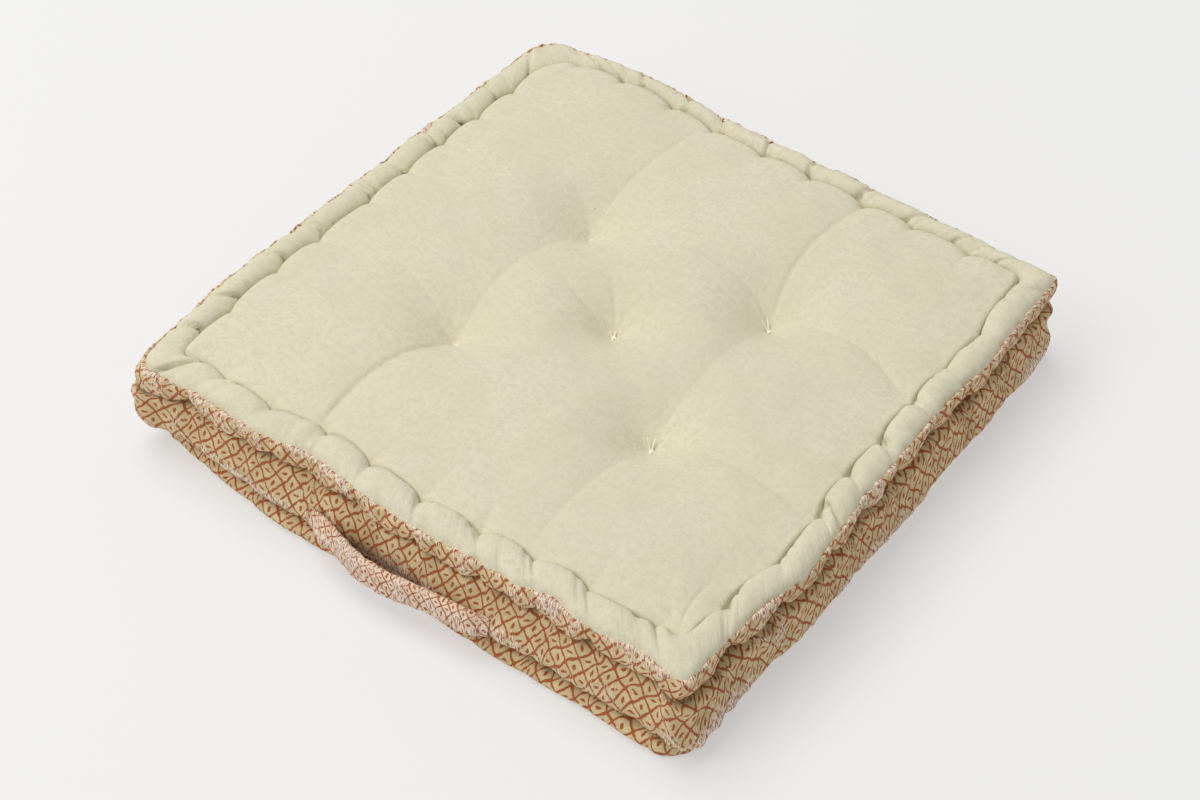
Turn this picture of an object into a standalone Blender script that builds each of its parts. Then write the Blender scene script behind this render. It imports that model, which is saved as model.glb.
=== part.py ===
"""Square floor cushion for meditation: a filled cotton case with rolled and hand-stitched edges.

Metres, +Z up. The origin is the middle of the flat base, and the side that carries the strap faces -Y.
The case is a cream top panel over a printed boxing. The panel is pulled down at five tufts, and soft
creases run from the tufts to its edges. A roll runs round the top of the case and another round its
base, each marked off by a stitched groove. A padded strap of the same print is sewn to the front.
"""

from collections import namedtuple
import math

import bpy
import numpy as np

MM = 0.001

# Driving sizes of the case
SIDE = 508 * MM
HALF = SIDE / 2
CROWN = 15 * MM
SHOULDER = 14 * MM
BORDER_REACH = 12 * MM

# Tufts: how far they pull the panel down, and the two reaches of their dimples
TUFT_DEPTH = 27 * MM
TUFT_CORE = 17 * MM
TUFT_SKIRT = 46 * MM

# Strap
STRAP_START = -84 * MM
STRAP_END = 86 * MM
STRAP_WIDTH = 25 * MM
STRAP_THICKNESS = 5 * MM
STRAP_EDGE = 1.4 * MM
STRAP_HEM = 16 * MM
STRAP_RISE = 36 * MM
STRAP_FALL = 75 * MM
STRAP_REACH = HALF + 15 * MM
STRAP_SAG = 2 * MM
STRAP_MIDDLE_HEIGHT = 28 * MM
STRAP_STATIONS = 30
STRAP_LEVELS = 5
SEWN_GAP = 0.5 * MM

# Tufting ties
THREAD_RADIUS = 0.6 * MM
KNOT_RADIUS = 1.8 * MM
THREAD_SIDES = 6
REST_GAP = 0.5 * MM

# Mesh steps from one stitch to the next, and how wide a stitch's dent is
STEPS_PER_SPAN = 4
DENT_WIDTH = 9 * MM
CORNER_DENT = 0.5
CORNER_FADE = 20 * MM

# Stitches that pull the roll in, in mm along each side, the way that +X or +Y runs.
# The boxing's pleats lie a little further along than the panel's stitches.
Side = namedtuple("Side", "name stitches boxing_shift")
FRONT = Side("front", (-180, -130, -88, -33, 13, 62, 107, 168, 211), 12)
BACK = Side("back", (-200, -155, -100, -58, -4, 43, 94, 140, 190), 0)
LEFT = Side("left", (-170, -114, -68, -8, 40, 86, 130, 175), 0)
RIGHT = Side("right", (-180, -134, -78, -36, 8, 56, 108, 156), -6)

# One row for each line round the case, from the panel's groove down to the foot, in mm.
# inset is measured inwards from the seam's plane, and pull and drop are what a stitch adds to it.
# shift and base are the shares of the boxing's stitch shift and of the base's outline.
Row = namedtuple("Row", "name inset height pull drop shift base")
ROWS = (
    Row("panel groove", 20.0, 77.0, 0.0, -4.0, 0.0, 0.0),
    Row("roll inside", 17.5, 83.5, 0.0, -4.5, 0.0, 0.0),
    Row("roll crest", 11.0, 88.0, 0.0, -5.0, 0.3, 0.0),
    Row("roll outside", 4.0, 86.0, 1.0, -4.0, 0.6, 0.0),
    Row("seam", 0.0, 80.0, 2.0, -2.0, 0.8, 0.0),
    Row("print strip", -1.5, 72.0, 3.5, 0.0, 1.0, 0.1),
    Row("boxing groove", 5.0, 64.0, 5.0, 3.0, 1.0, 0.2),
    Row("boxing top", 0.0, 56.0, 4.0, 0.0, 1.0, 0.3),
    Row("boxing middle", -4.0, 42.0, 0.5, 0.0, 1.0, 0.5),
    Row("boxing foot", -4.5, 27.0, 0.5, 0.0, 1.0, 0.7),
    Row("base groove", 1.0, 17.5, 5.0, 0.0, 1.0, 0.9),
    Row("base roll", -5.0, 9.5, 3.0, 0.0, 1.0, 1.0),
    Row("base turn", -2.5, 2.5, 2.0, 0.0, 1.0, 1.0),
    Row("foot", 5.0, 0.0, 2.0, 0.0, 1.0, 1.0),
)
SEAM_ROW = 4
PANEL_LEVEL = ROWS[0].height * MM

# Soft swellings of the outline, in mm: centre and reach along the side, and how far out.
Swell = namedtuple("Swell", "side centre reach out")
SEAM_SWELLS = (
    Swell("front", 0, 260, -3.0),
    Swell("right", -85, 150, 6.0),
    Swell("back", 0, 300, 3.0),
    Swell("back", -150, 110, 10.0),
    Swell("left", 0, 300, 6.0),
    Swell("left", -140, 130, 6.0),
)
BASE_SWELLS = (
    Swell("front", -215, 110, -8.0),
    Swell("front", 40, 320, 6.0),
    Swell("front", -5, 90, -7.0),
    Swell("right", 0, 300, 6.0),
    Swell("left", -215, 110, -6.0),
)

# Corner radii at the seam and at the base, in mm, and how far each corner is pulled out at the base
Corner = namedtuple("Corner", "x_sign y_sign seam_radius base_radius ear")
CORNERS = (
    Corner(1, -1, 9, 14, 10),
    Corner(1, 1, 9, 16, 6),
    Corner(-1, 1, 22, 26, 0),
    Corner(-1, -1, 14, 26, 0),
)
EAR_REACH = 40 * MM

# Tufts, in mm, with the lengths and headings of their two loose thread ends
Tuft = namedtuple("Tuft", "name x y end_length end_headings")
TUFTS = (
    Tuft("tie_1", -77, 83, 3.0, (60, 215)),
    Tuft("tie_2", 97, 82, 8.0, (75, 160)),
    Tuft("tie_3", 5, 3, 4.5, (100, 170)),
    Tuft("tie_4", -87, -77, 3.0, (40, 200)),
    Tuft("tie_5", 100, -79, 8.5, (70, 125)),
)

# Creases of the top panel, in mm: each a curve from start to end, drawn towards bend
Crease = namedtuple("Crease", "start bend end start_depth end_depth width")
CREASES = (
    Crease((-77, 83), (-88, 150), (-70, 230), 8.0, 2.5, 15),
    Crease((-77, 83), (-104, 10), (-87, -77), 7.0, 7.0, 16),
    Crease((-87, -77), (-116, -150), (-97, -230), 8.0, 4.0, 13),
    Crease((97, 82), (70, 150), (88, 228), 7.0, 3.0, 15),
    Crease((97, 82), (92, 0), (100, -79), 6.0, 6.0, 18),
    Crease((100, -79), (90, -150), (97, -230), 6.0, 1.5, 17),
    Crease((97, 82), (160, 112), (236, 60), 5.0, 3.0, 13),
    Crease((100, -79), (150, -58), (236, -80), 5.0, 3.5, 14),
    Crease((97, 82), (65, 112), (10, 96), 5.0, 1.0, 13),
    Crease((5, 3), (30, 20), (58, 24), 5.0, 1.0, 10),
)
CREASE_SAMPLES = 24

# Base colours in linear light, and roughness
CREAM = (0.71, 0.66, 0.50, 1.0)
PRINT = (0.40, 0.25, 0.12, 1.0)
THREAD = (0.78, 0.72, 0.55, 1.0)
CLOTH_ROUGHNESS = 0.9


def clear_scene():
    for obj in list(bpy.data.objects):
        bpy.data.objects.remove(obj, do_unlink=True)


def cloth_material(name, colour):
    material = bpy.data.materials.new(name)
    material.use_nodes = True
    shader = material.node_tree.nodes["Principled BSDF"]
    shader.inputs["Base Color"].default_value = colour
    shader.inputs["Roughness"].default_value = CLOTH_ROUGHNESS
    shader.inputs["Metallic"].default_value = 0.0
    material.diffuse_color = colour
    return material


def add_object(name, points, faces, materials, face_materials=None):
    mesh = bpy.data.meshes.new(name)
    mesh.from_pydata([tuple(map(float, point)) for point in points], [], faces)
    for material in materials:
        mesh.materials.append(material)
    if face_materials is not None:
        mesh.polygons.foreach_set("material_index", face_materials)
    mesh.shade_smooth()
    mesh.update()
    obj = bpy.data.objects.new(name, mesh)
    bpy.context.scene.collection.objects.link(obj)
    return obj


def smooth_step(value):
    value = np.clip(value, 0.0, 1.0)
    return value * value * (3 - 2 * value)


def groove_half():
    """Half the side of the square that the panel's groove follows."""
    return HALF - ROWS[0].inset * MM


def stations(side):
    """Places along a side from one corner of the panel to the other, some steps for each stitch."""
    knots = [-groove_half(), *(stitch * MM for stitch in side.stitches), groove_half()]
    places = [
        low + (high - low) * step / STEPS_PER_SPAN
        for low, high in zip(knots, knots[1:])
        for step in range(STEPS_PER_SPAN)
    ]
    return np.array([*places, knots[-1]])


def stitch_pull(side, along):
    """1 at a stitch, falling to 0 between two stitches. A corner counts as a weaker stitch."""
    along = np.asarray(along, float)
    pull = np.zeros_like(along)
    for stitch in side.stitches:
        pull = np.maximum(pull, np.exp(-(((along - stitch * MM) / DENT_WIDTH) ** 2)))
    for corner in (-groove_half(), groove_half()):
        dent = CORNER_DENT * np.exp(-(((along - corner) / DENT_WIDTH) ** 2))
        pull = np.maximum(pull, dent)
    return pull


def swelling(swells, side, along):
    out = np.zeros_like(along)
    for swell in swells:
        if swell.side == side.name:
            distance = np.abs(along - swell.centre * MM) / (swell.reach * MM)
            out += swell.out * MM * (1 - smooth_step(distance))
    return out


def fade_to_corners(along):
    """1 along a side, 0 at its corners, so that two sides meet in one line."""
    return smooth_step((HALF - np.abs(along)) / CORNER_FADE)


def side_line(row, side, stitched=True):
    """Along, outward distance and height of one row's points on one side."""
    panel_along = stations(side)
    share = panel_along / groove_half()
    half_row = HALF - row.inset * MM
    shift = side.boxing_shift * MM * row.shift * (1 - share**2)
    along = share * half_row + shift
    pull = stitch_pull(side, panel_along) * stitched
    swell = (1 - row.base) * swelling(SEAM_SWELLS, side, along)
    swell = swell + row.base * swelling(BASE_SWELLS, side, along)
    swell = swell * fade_to_corners(along)
    out = half_row - row.pull * MM * pull + swell
    height = row.height * MM + row.drop * MM * pull
    return along, out, height


def round_corner(x, y, base):
    """Moves a point in a corner's square cell onto that corner's round plan, and pulls it out."""
    for corner in CORNERS:
        radius = corner.seam_radius + (corner.base_radius - corner.seam_radius) * base
        radius *= MM
        past_x = corner.x_sign * x - (HALF - radius)
        past_y = corner.y_sign * y - (HALF - radius)
        if past_x > 0 and past_y > 0:
            scale = max(past_x, past_y) / math.hypot(past_x, past_y)
            x = corner.x_sign * (HALF - radius + past_x * scale)
            y = corner.y_sign * (HALF - radius + past_y * scale)
        distance = math.hypot(corner.x_sign * HALF - x, corner.y_sign * HALF - y)
        pull = corner.ear * MM * base * math.exp(-((distance / EAR_REACH) ** 2))
        x += corner.x_sign * pull * math.sqrt(0.5)
        y += corner.y_sign * pull * math.sqrt(0.5)
    return x, y


def ring(row):
    """The row's points, counter-clockwise from the front's left corner, seen from above."""
    front, right, back, left = (side_line(row, side) for side in (FRONT, RIGHT, BACK, LEFT))
    points = [(a, -o, z) for a, o, z in zip(*front)][:-1]
    points += [(o, a, z) for a, o, z in zip(*right)][:-1]
    points += [(a, o, z) for a, o, z in zip(*back)][:0:-1]
    points += [(-o, a, z) for a, o, z in zip(*left)][:0:-1]
    return np.array([(*round_corner(x, y, row.base), z) for x, y, z in points])


def grid_shape():
    return len(stations(FRONT)) - 1, len(stations(LEFT)) - 1


def grid_border(ring_points):
    """A ring's points as the four borders of a grid: front, right, back and left."""
    across, deep = grid_shape()
    loop = np.vstack([ring_points, ring_points[:1]])
    front = loop[: across + 1]
    right = loop[across : across + deep + 1]
    back = loop[across + deep : 2 * across + deep + 1][::-1]
    left = loop[2 * across + deep :][::-1]
    return front, right, back, left


def filled_grid(ring_points):
    """Points of a grid stretched evenly between its four borders."""
    across, deep = grid_shape()
    front, right, back, left = grid_border(ring_points)
    u = np.linspace(0, 1, across + 1)[:, None, None]
    v = np.linspace(0, 1, deep + 1)[None, :, None]
    between_ends = (1 - v) * front[:, None] + v * back[:, None]
    between_sides = (1 - u) * left[None] + u * right[None]
    corners = (
        (1 - u) * (1 - v) * front[0]
        + u * (1 - v) * front[-1]
        + (1 - u) * v * back[0]
        + u * v * back[-1]
    )
    return between_ends + between_sides - corners


def crease_depth(crease, x, y):
    """How far one crease lowers the panel: a soft trough along a curve, deeper at its start."""
    t = np.linspace(0, 1, CREASE_SAMPLES)[:, None]
    start, bend, end = (np.array(point) * MM for point in crease[:3])
    curve = (1 - t) ** 2 * start + 2 * t * (1 - t) * bend + t**2 * end
    distance = np.hypot(x[..., None] - curve[:, 0], y[..., None] - curve[:, 1])
    nearest = distance.argmin(axis=-1)
    depth = crease.start_depth + (crease.end_depth - crease.start_depth) * t[nearest, 0]
    return depth * MM * np.exp(-distance.min(axis=-1) / (crease.width * MM))


def tuft_depth(x, y):
    depth = np.zeros_like(x)
    for tuft in TUFTS:
        radius = np.hypot(x - tuft.x * MM, y - tuft.y * MM)
        core = np.exp(-((radius / TUFT_CORE) ** 1.2))
        skirt = np.exp(-((radius / TUFT_SKIRT) ** 2))
        depth += TUFT_DEPTH * (0.5 * core + 0.5 * skirt)
    return depth


def crown_height(x, y):
    """The panel's rise above its groove: round shoulders, tuft dimples and creases."""
    shoulder = 1 - np.exp(-edge_distance(x, y) / SHOULDER)
    creases = sum(crease_depth(crease, x, y) for crease in CREASES)
    limit = 0.4 * CROWN * np.tanh(creases / (0.4 * CROWN))
    return shoulder * (CROWN - limit) - shoulder * tuft_depth(x, y)


def edge_distance(x, y):
    return np.maximum(groove_half() - np.maximum(np.abs(x), np.abs(y)), 0)


def panel_height(x, y, border_height=PANEL_LEVEL):
    """Height of the panel, which follows its stitched border only close to it."""
    follows = np.exp(-edge_distance(x, y) / BORDER_REACH)
    level = PANEL_LEVEL + (border_height - PANEL_LEVEL) * follows
    return level + crown_height(x, y)


def panel_points(ring_points):
    """The top panel's grid, with a point drawn to each tuft and its border on the groove."""
    points = filled_grid(ring_points)
    for tuft in TUFTS:
        place = np.array([tuft.x, tuft.y]) * MM
        distance = np.linalg.norm(points[1:-1, 1:-1, :2] - place, axis=-1)
        i, j = np.unravel_index(distance.argmin(), distance.shape)
        points[i + 1, j + 1, :2] = place
    inner = points[1:-1, 1:-1]
    inner[..., 2] = panel_height(inner[..., 0], inner[..., 1], inner[..., 2])
    return points


def border_index(i, j, across, deep):
    """Number of a grid point in its ring, or None inside the grid."""
    if j == 0:
        return i
    if i == across:
        return across + j
    if j == deep:
        return across + deep + (across - i)
    if i == 0:
        return 2 * across + deep + (deep - j)
    return None


def make_cushion(cream, printed):
    across, deep = grid_shape()
    rings = [ring(row) for row in ROWS]
    count = len(rings[0])
    points = [tuple(point) for line in rings for point in line]
    grid = panel_points(rings[0])
    number = np.zeros((across + 1, deep + 1), int)
    for i in range(across + 1):
        for j in range(deep + 1):
            index = border_index(i, j, across, deep)
            if index is None:
                index = len(points)
                points.append(tuple(grid[i, j]))
            number[i, j] = index % count if index < 2 * (across + deep) else index
    faces = []
    for i in range(across):
        for j in range(deep):
            faces.append((number[i, j], number[i + 1, j], number[i + 1, j + 1], number[i, j + 1]))
    slots = [0] * len(faces)
    for level in range(len(rings) - 1):
        upper = level * count
        lower = upper + count
        for k in range(count):
            after = (k + 1) % count
            faces.append((upper + k, lower + k, lower + after, upper + after))
            slots.append(0 if level < SEAM_ROW else 1)
    foot = (len(rings) - 1) * count
    faces.append(tuple(foot + k for k in reversed(range(count))))
    slots.append(0)
    faces = [tuple(int(index) for index in face) for face in faces]
    return add_object("cushion", points, faces, (cream, printed), slots)


def boxing_out(x, z):
    """Outward distance of the front boxing at a place along it and a height, without its dents."""
    heights = []
    outs = []
    for row in reversed(ROWS[SEAM_ROW:]):
        along, out, height = side_line(row, FRONT, stitched=False)
        heights.append(float(np.interp(x, along, height)))
        outs.append(float(np.interp(x, along, out)))
    return float(np.interp(z, heights, outs))


def strap_section(share):
    """Points round the strap at a share of its length, as (x, outward, height)."""
    x = STRAP_START + (STRAP_END - STRAP_START) * share
    rise = (x - STRAP_START - STRAP_HEM) / STRAP_RISE
    fall = (STRAP_END - STRAP_HEM - x) / STRAP_FALL
    free = smooth_step(min(rise, fall))
    middle = STRAP_MIDDLE_HEIGHT - STRAP_SAG * free
    top = middle + STRAP_WIDTH / 2
    bottom = middle - STRAP_WIDTH / 2

    def inner(z):
        on_boxing = boxing_out(x, z) + SEWN_GAP
        return on_boxing + (STRAP_REACH - on_boxing) * free

    levels = np.linspace(top - STRAP_EDGE, bottom + STRAP_EDGE, STRAP_LEVELS)
    back = [(x, inner(level), level) for level in levels]
    face = [(x, out + STRAP_THICKNESS, level) for x, out, level in reversed(back)]
    lower_edge = (x, back[-1][1] + STRAP_THICKNESS / 2, bottom)
    upper_edge = (x, back[0][1] + STRAP_THICKNESS / 2, top)
    return [*back, lower_edge, *face, upper_edge]


def loft(sections):
    """Points and faces of a closed solid through rings of equal length."""
    count = len(sections[0])
    points = [point for section in sections for point in section]
    faces = []
    for level in range(len(sections) - 1):
        for k in range(count):
            after = (k + 1) % count
            low = level * count
            faces.append((low + k, low + after, low + count + after, low + count + k))
    last = (len(sections) - 1) * count
    faces.append(tuple(reversed(range(count))))
    faces.append(tuple(range(last, last + count)))
    return points, faces


def make_strap(printed):
    shares = [k / (STRAP_STATIONS - 1) for k in range(STRAP_STATIONS)]
    sections = []
    for share in shares:
        outline = [(x, -out, z) for x, out, z in strap_section(share)]
        sections.append(outline[::-1])
    points, faces = loft(sections)
    return add_object("handle_strap", points, faces, (printed,))


def tie_path(tuft):
    """Centre line and radii of one thread: a loose end, the knot, and the other loose end."""
    x = tuft.x * MM
    y = tuft.y * MM
    seat = float(panel_height(np.array(x), np.array(y)))
    knot = np.array([x, y, seat + 1.6 * KNOT_RADIUS + REST_GAP])
    length = tuft.end_length * MM
    arms = []
    for heading in tuft.end_headings:
        angle = math.radians(heading)
        arms.append(np.array([0.45 * math.cos(angle), 0.45 * math.sin(angle), 0.89]))
    first, second = arms
    apart = (first - second) / np.linalg.norm(first - second)
    rise = np.array([0, 0, 0.6 * KNOT_RADIUS])
    first_root = knot + 0.9 * KNOT_RADIUS * apart + rise
    second_root = knot - 0.9 * KNOT_RADIUS * apart + rise
    path = [
        first_root + first * length,
        first_root + first * length / 2,
        first_root,
        knot,
        second_root,
        second_root + second * length / 2,
        second_root + second * length,
    ]
    thin = THREAD_RADIUS
    radii = [0.6 * thin, thin, 1.2 * thin, KNOT_RADIUS, 1.2 * thin, thin, 0.6 * thin]
    return path, radii


def make_tie(tuft, thread):
    path, radii = tie_path(tuft)
    across = path[0] - path[-1]
    across /= np.linalg.norm(across)
    normal = np.cross(across, (0, 0, 1))
    normal /= np.linalg.norm(normal)
    sections = []
    for k, (point, radius) in enumerate(zip(path, radii)):
        ahead = path[max(k - 1, 0)] - path[min(k + 1, len(path) - 1)]
        ahead /= np.linalg.norm(ahead)
        beside = np.cross(normal, ahead)
        turns = [2 * math.pi * n / THREAD_SIDES for n in range(THREAD_SIDES)]
        sections.append(
            [point + radius * (math.cos(a) * normal + math.sin(a) * beside) for a in turns]
        )
    points, faces = loft(sections)
    return add_object(tuft.name, points, faces, (thread,))


def main():
    clear_scene()
    cream = cloth_material("cream_cotton", CREAM)
    printed = cloth_material("printed_cotton", PRINT)
    thread = cloth_material("tie_thread", THREAD)
    make_cushion(cream, printed)
    make_strap(printed)
    for tuft in TUFTS:
        make_tie(tuft, thread)


main()
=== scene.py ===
"""Looks of the square meditation cushion: a cream cotton case with a hand-blocked print on its sides.

Metres, +Z up. The origin is the middle of the base, and the side with the strap faces -Y.
The case is three sewn pieces of cloth: a tufted top panel that rolls over the edge, a printed boxing
and a bottom panel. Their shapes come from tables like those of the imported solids, with finer steps,
more folds and some depths of their own.
"""

from collections import namedtuple
import math

import bpy
from mathutils import Matrix, Vector
import numpy as np

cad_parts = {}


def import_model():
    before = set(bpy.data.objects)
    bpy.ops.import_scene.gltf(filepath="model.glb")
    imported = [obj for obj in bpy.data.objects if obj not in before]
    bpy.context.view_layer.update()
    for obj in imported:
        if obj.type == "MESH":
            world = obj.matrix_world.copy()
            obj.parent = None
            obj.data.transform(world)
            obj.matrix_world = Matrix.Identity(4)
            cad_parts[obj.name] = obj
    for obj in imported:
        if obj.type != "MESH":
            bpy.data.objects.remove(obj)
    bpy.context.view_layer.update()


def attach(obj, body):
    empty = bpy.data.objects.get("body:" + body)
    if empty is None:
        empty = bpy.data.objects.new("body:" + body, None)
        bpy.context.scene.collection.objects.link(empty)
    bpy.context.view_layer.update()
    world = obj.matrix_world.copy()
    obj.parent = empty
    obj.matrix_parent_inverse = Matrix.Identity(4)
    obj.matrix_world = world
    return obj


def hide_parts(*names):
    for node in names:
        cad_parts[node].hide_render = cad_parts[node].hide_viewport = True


MM = 0.001

# Driving sizes of the case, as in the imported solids
SIDE = 508 * MM
HALF = SIDE / 2
CROWN = 15 * MM
LIP_FAR = 12 * MM
LIP_NEAR = 7.8 * MM
LIP_TURN = 80 * MM
LIP_REACH = 1.0 * MM
SHOULDER = 38 * MM
BORDER_REACH = 11 * MM
GROOVE_REACH = 3 * MM
PANEL_LEVEL = 77 * MM
TUFT_DEPTH = 24 * MM
TUFT_CORE = 16 * MM
TUFT_SKIRT = 46 * MM
PUFF_POWER = 2.4
PUFF_ROUND = 0.6
PUFF_DEPTH = 5.5 * MM
PUFF_REACH = 8 * MM
STITCH_SEED = 30
CORNER_FADE = 20 * MM
CORNER_REACH = 42 * MM
CORNER_SLUMP = 0.6
EAR_REACH = 40 * MM

# Mesh steps from one stitch to the next, and levels down the roll and down the boxing
STEPS_PER_SPAN = 28
ROLL_LEVELS = 18
BOXING_LEVELS = 62
RIDGE_LEVELS = 7

# Stitches that pull the roll in, in mm along each side, the way that +X or +Y runs.
# boxing_shift is how far the boxing's stitches lie beside the roll's, groove_in is how much
# further in the panel's groove lies on that side, cusp is how far a stitch moves the groove
# inwards, puff is how much the roll swells between stitches, slump is how far the boxing
# sinks over the base roll, full is how much the roll fills up against the panel, and dip is how
# much of a stitch's pull reaches the panel.
Side = namedtuple("Side", "name stitches boxing_shift groove_in cusp puff slump full dip")
FRONT = Side("front", (-189, -141, -92, -45, 6, 60, 107, 154, 211), 12, 7, -4.5, 1.0, 0.1, 1.0, 0.5)
BACK = Side("back", (-205, -163, -110, -66, -14, 34, 85, 132, 184), 0, -2, 2.5, 0.6, 0.5, 0.0, 1.0)
LEFT = Side("left", (-170, -114, -68, -8, 40, 86, 130, 175), 0, 3, 2.5, 0.6, 0.5, 0.0, 1.0)
RIGHT = Side("right", (-186, -132, -76, -31, 14, 66, 108, 158), -6, 3, -5.0, 1.0, 1.0, 1.0, 0.45)
SIDES = (FRONT, RIGHT, BACK, LEFT)

# One row for each line round the case, in mm. inset is measured inwards from the seam's plane,
# and pull and drop are what a stitch adds to inset and height. shift, base, groove and cusp are
# the shares of the boxing's stitch shift, of the base's outline, and of a side's groove_in and
# cusp. corner is what a corner adds to inset, low_in and low_down are what a side that slumps
# adds to inset and takes from height, and full is what a full roll adds to height.
Row = namedtuple(
    "Row", "name inset height pull drop shift base groove cusp corner low_in low_down full"
)
ROLL_ROWS = (
    Row("groove", 20.0, 73.5, 0.0, -2.5, 0.0, 0.0, 1.0, 1.0, 0.0, 0.0, 0.0, 4.5),
    Row("roll wall", 20.4, 79.5, 0.0, -4.5, 0.0, 0.0, 1.0, 1.0, 0.0, 0.0, 0.0, 5.5),
    Row("roll inside", 17.5, 85.4, 0.0, -6.0, 0.0, 0.0, 0.9, 0.9, 0.0, 0.0, 0.0, 3.4),
    Row("roll crest", 10.5, 88.4, 0.0, -4.0, 0.3, 0.0, 0.55, 0.5, 0.0, 0.0, 0.0, 1.2),
    Row("roll outside", 3.5, 85.8, 0.8, -2.0, 0.6, 0.0, 0.2, 0.1, 0.0, 0.0, 0.0, 0.3),
    Row("seam", 0.0, 80.0, 1.3, -0.8, 0.8, 0.0, 0.0, 0.0, 0.0, 0.0, 0.0, 0.0),
)
BOXING_ROWS = (
    Row("seam lip", 2.2, 80.5, 1.3, -0.8, 0.8, 0.0, 0.0, 0.0, 0.0, 0.0, 0.0, 0.0),
    Row("seam ridge", -0.2, 82.0, 1.3, -0.8, 0.8, 0.0, 0.0, 0.0, 0.0, 0.0, 0.0, 0.0),
    Row("seam side", -1.7, 79.6, 1.8, -0.8, 0.8, 0.0, 0.0, 0.0, 0.0, 0.0, 0.0, 0.0),
    Row("strip", -3.2, 72.5, 3.5, 0.0, 1.0, 0.1, 0.0, 0.0, 1.0, 0.8, 1.0, 0.0),
    Row("strip foot", -1.9, 64.0, 4.6, 3.5, 1.0, 0.15, 0.0, 0.0, 1.2, 2.4, 2.0, 0.0),
    Row("boxing groove", 3.8, 61.5, 4.5, 4.0, 1.0, 0.18, 0.0, 0.0, -4.5, 4.2, 3.0, 0.0),
    Row("boxing top", -0.6, 57.5, 3.6, 2.0, 1.0, 0.22, 0.0, 0.0, -2.0, -1.2, 3.4, 0.0),
    Row("boxing upper", -2.0, 47.5, 2.0, 0.0, 1.0, 0.32, 0.0, 0.0, 1.0, -1.6, 3.4, 0.0),
    Row("boxing middle", -4.2, 38.5, 0.5, 0.0, 1.0, 0.45, 0.0, 0.0, 1.8, -0.8, 4.0, 0.0),
    Row("boxing foot", -4.5, 26.0, 0.5, 0.0, 1.0, 0.7, 0.0, 0.0, 1.8, -3.0, 7.0, 0.0),
    Row("boxing tuck", -1.5, 20.5, 2.0, 0.0, 1.0, 0.8, 0.0, 0.0, 0.2, -2.0, 9.0, 0.0),
    Row("base groove", 4.5, 17.5, 4.0, 0.5, 1.0, 0.9, 0.0, 0.0, -3.5, 1.5, 9.5, 0.0),
    Row("base top", -2.0, 14.5, 3.5, 0.0, 1.0, 0.95, 0.0, 0.0, 2.4, 4.5, 8.5, 0.0),
    Row("base roll", -5.0, 8.5, 2.5, 0.0, 1.0, 1.0, 0.0, 0.0, 4.5, 5.5, 4.5, 0.0),
    Row("base turn", -3.0, 2.5, 2.0, 0.0, 1.0, 1.0, 0.0, 0.0, 3.6, 4.5, 1.0, 0.0),
    Row("foot", 4.0, 0.3, 2.0, 0.0, 1.0, 1.0, 0.0, 0.0, 1.0, 2.0, 0.0, 0.0),
    Row("tucked edge", 12.0, 0.6, 2.0, 0.0, 1.0, 1.0, 0.0, 0.0, 0.0, 0.0, 0.0, 0.0),
)

# Soft swellings of the outline, in mm: centre and reach along the side, and how far out
Swell = namedtuple("Swell", "side centre reach out")
SEAM_SWELLS = (
    Swell("front", 0, 260, -3.0),
    Swell("front", -200, 60, -3.0),
    Swell("front", -88, 50, -5.5),
    Swell("front", 22, 70, 4.0),
    Swell("front", 137, 28, -4.0),
    Swell("front", 212, 34, -5.0),
    Swell("right", 0, 340, 2.0),
    Swell("right", -85, 150, 6.0),
    Swell("right", -120, 60, 4.5),
    Swell("right", -35, 40, -3.0),
    Swell("right", 140, 60, 4.0),
    Swell("back", 0, 300, 3.0),
    Swell("back", -150, 110, 10.0),
    Swell("left", 0, 300, 6.0),
    Swell("left", -140, 130, 6.0),
)
BASE_SWELLS = (
    Swell("front", -215, 110, -8.0),
    Swell("front", 40, 320, 6.0),
    Swell("front", -5, 90, -7.0),
    Swell("right", 0, 300, 6.0),
    Swell("left", -215, 110, -6.0),
)

# Corner radii in the groove, at the seam and at the base, in mm, and how far each corner is
# pulled out at the base and at half height. They follow the ring: front left, front right, back
# right, back left.
Corner = namedtuple("Corner", "x_sign y_sign groove_radius seam_radius base_radius ear bulge")
CORNERS = (
    Corner(-1, -1, 6, 14, 26, -7, 13),
    Corner(1, -1, 12, 9, 20, 10, 0),
    Corner(1, 1, 7, 9, 20, 6, -5),
    Corner(-1, 1, 34, 22, 26, 0, 0),
)

# Tufts, in mm, with the lengths and headings of their two loose thread ends
Tuft = namedtuple("Tuft", "name x y end_length end_headings")
TUFTS = (
    Tuft("tie_1", -77, 83, 0.0, (60, 215)),
    Tuft("tie_2", 97, 82, 9.0, (140, 185)),
    Tuft("tie_3", 5, 3, 4.5, (100, 170)),
    Tuft("tie_4", -87, -77, 0.0, (40, 200)),
    Tuft("tie_5", 100, -79, 9.0, (100, 148)),
)

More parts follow.
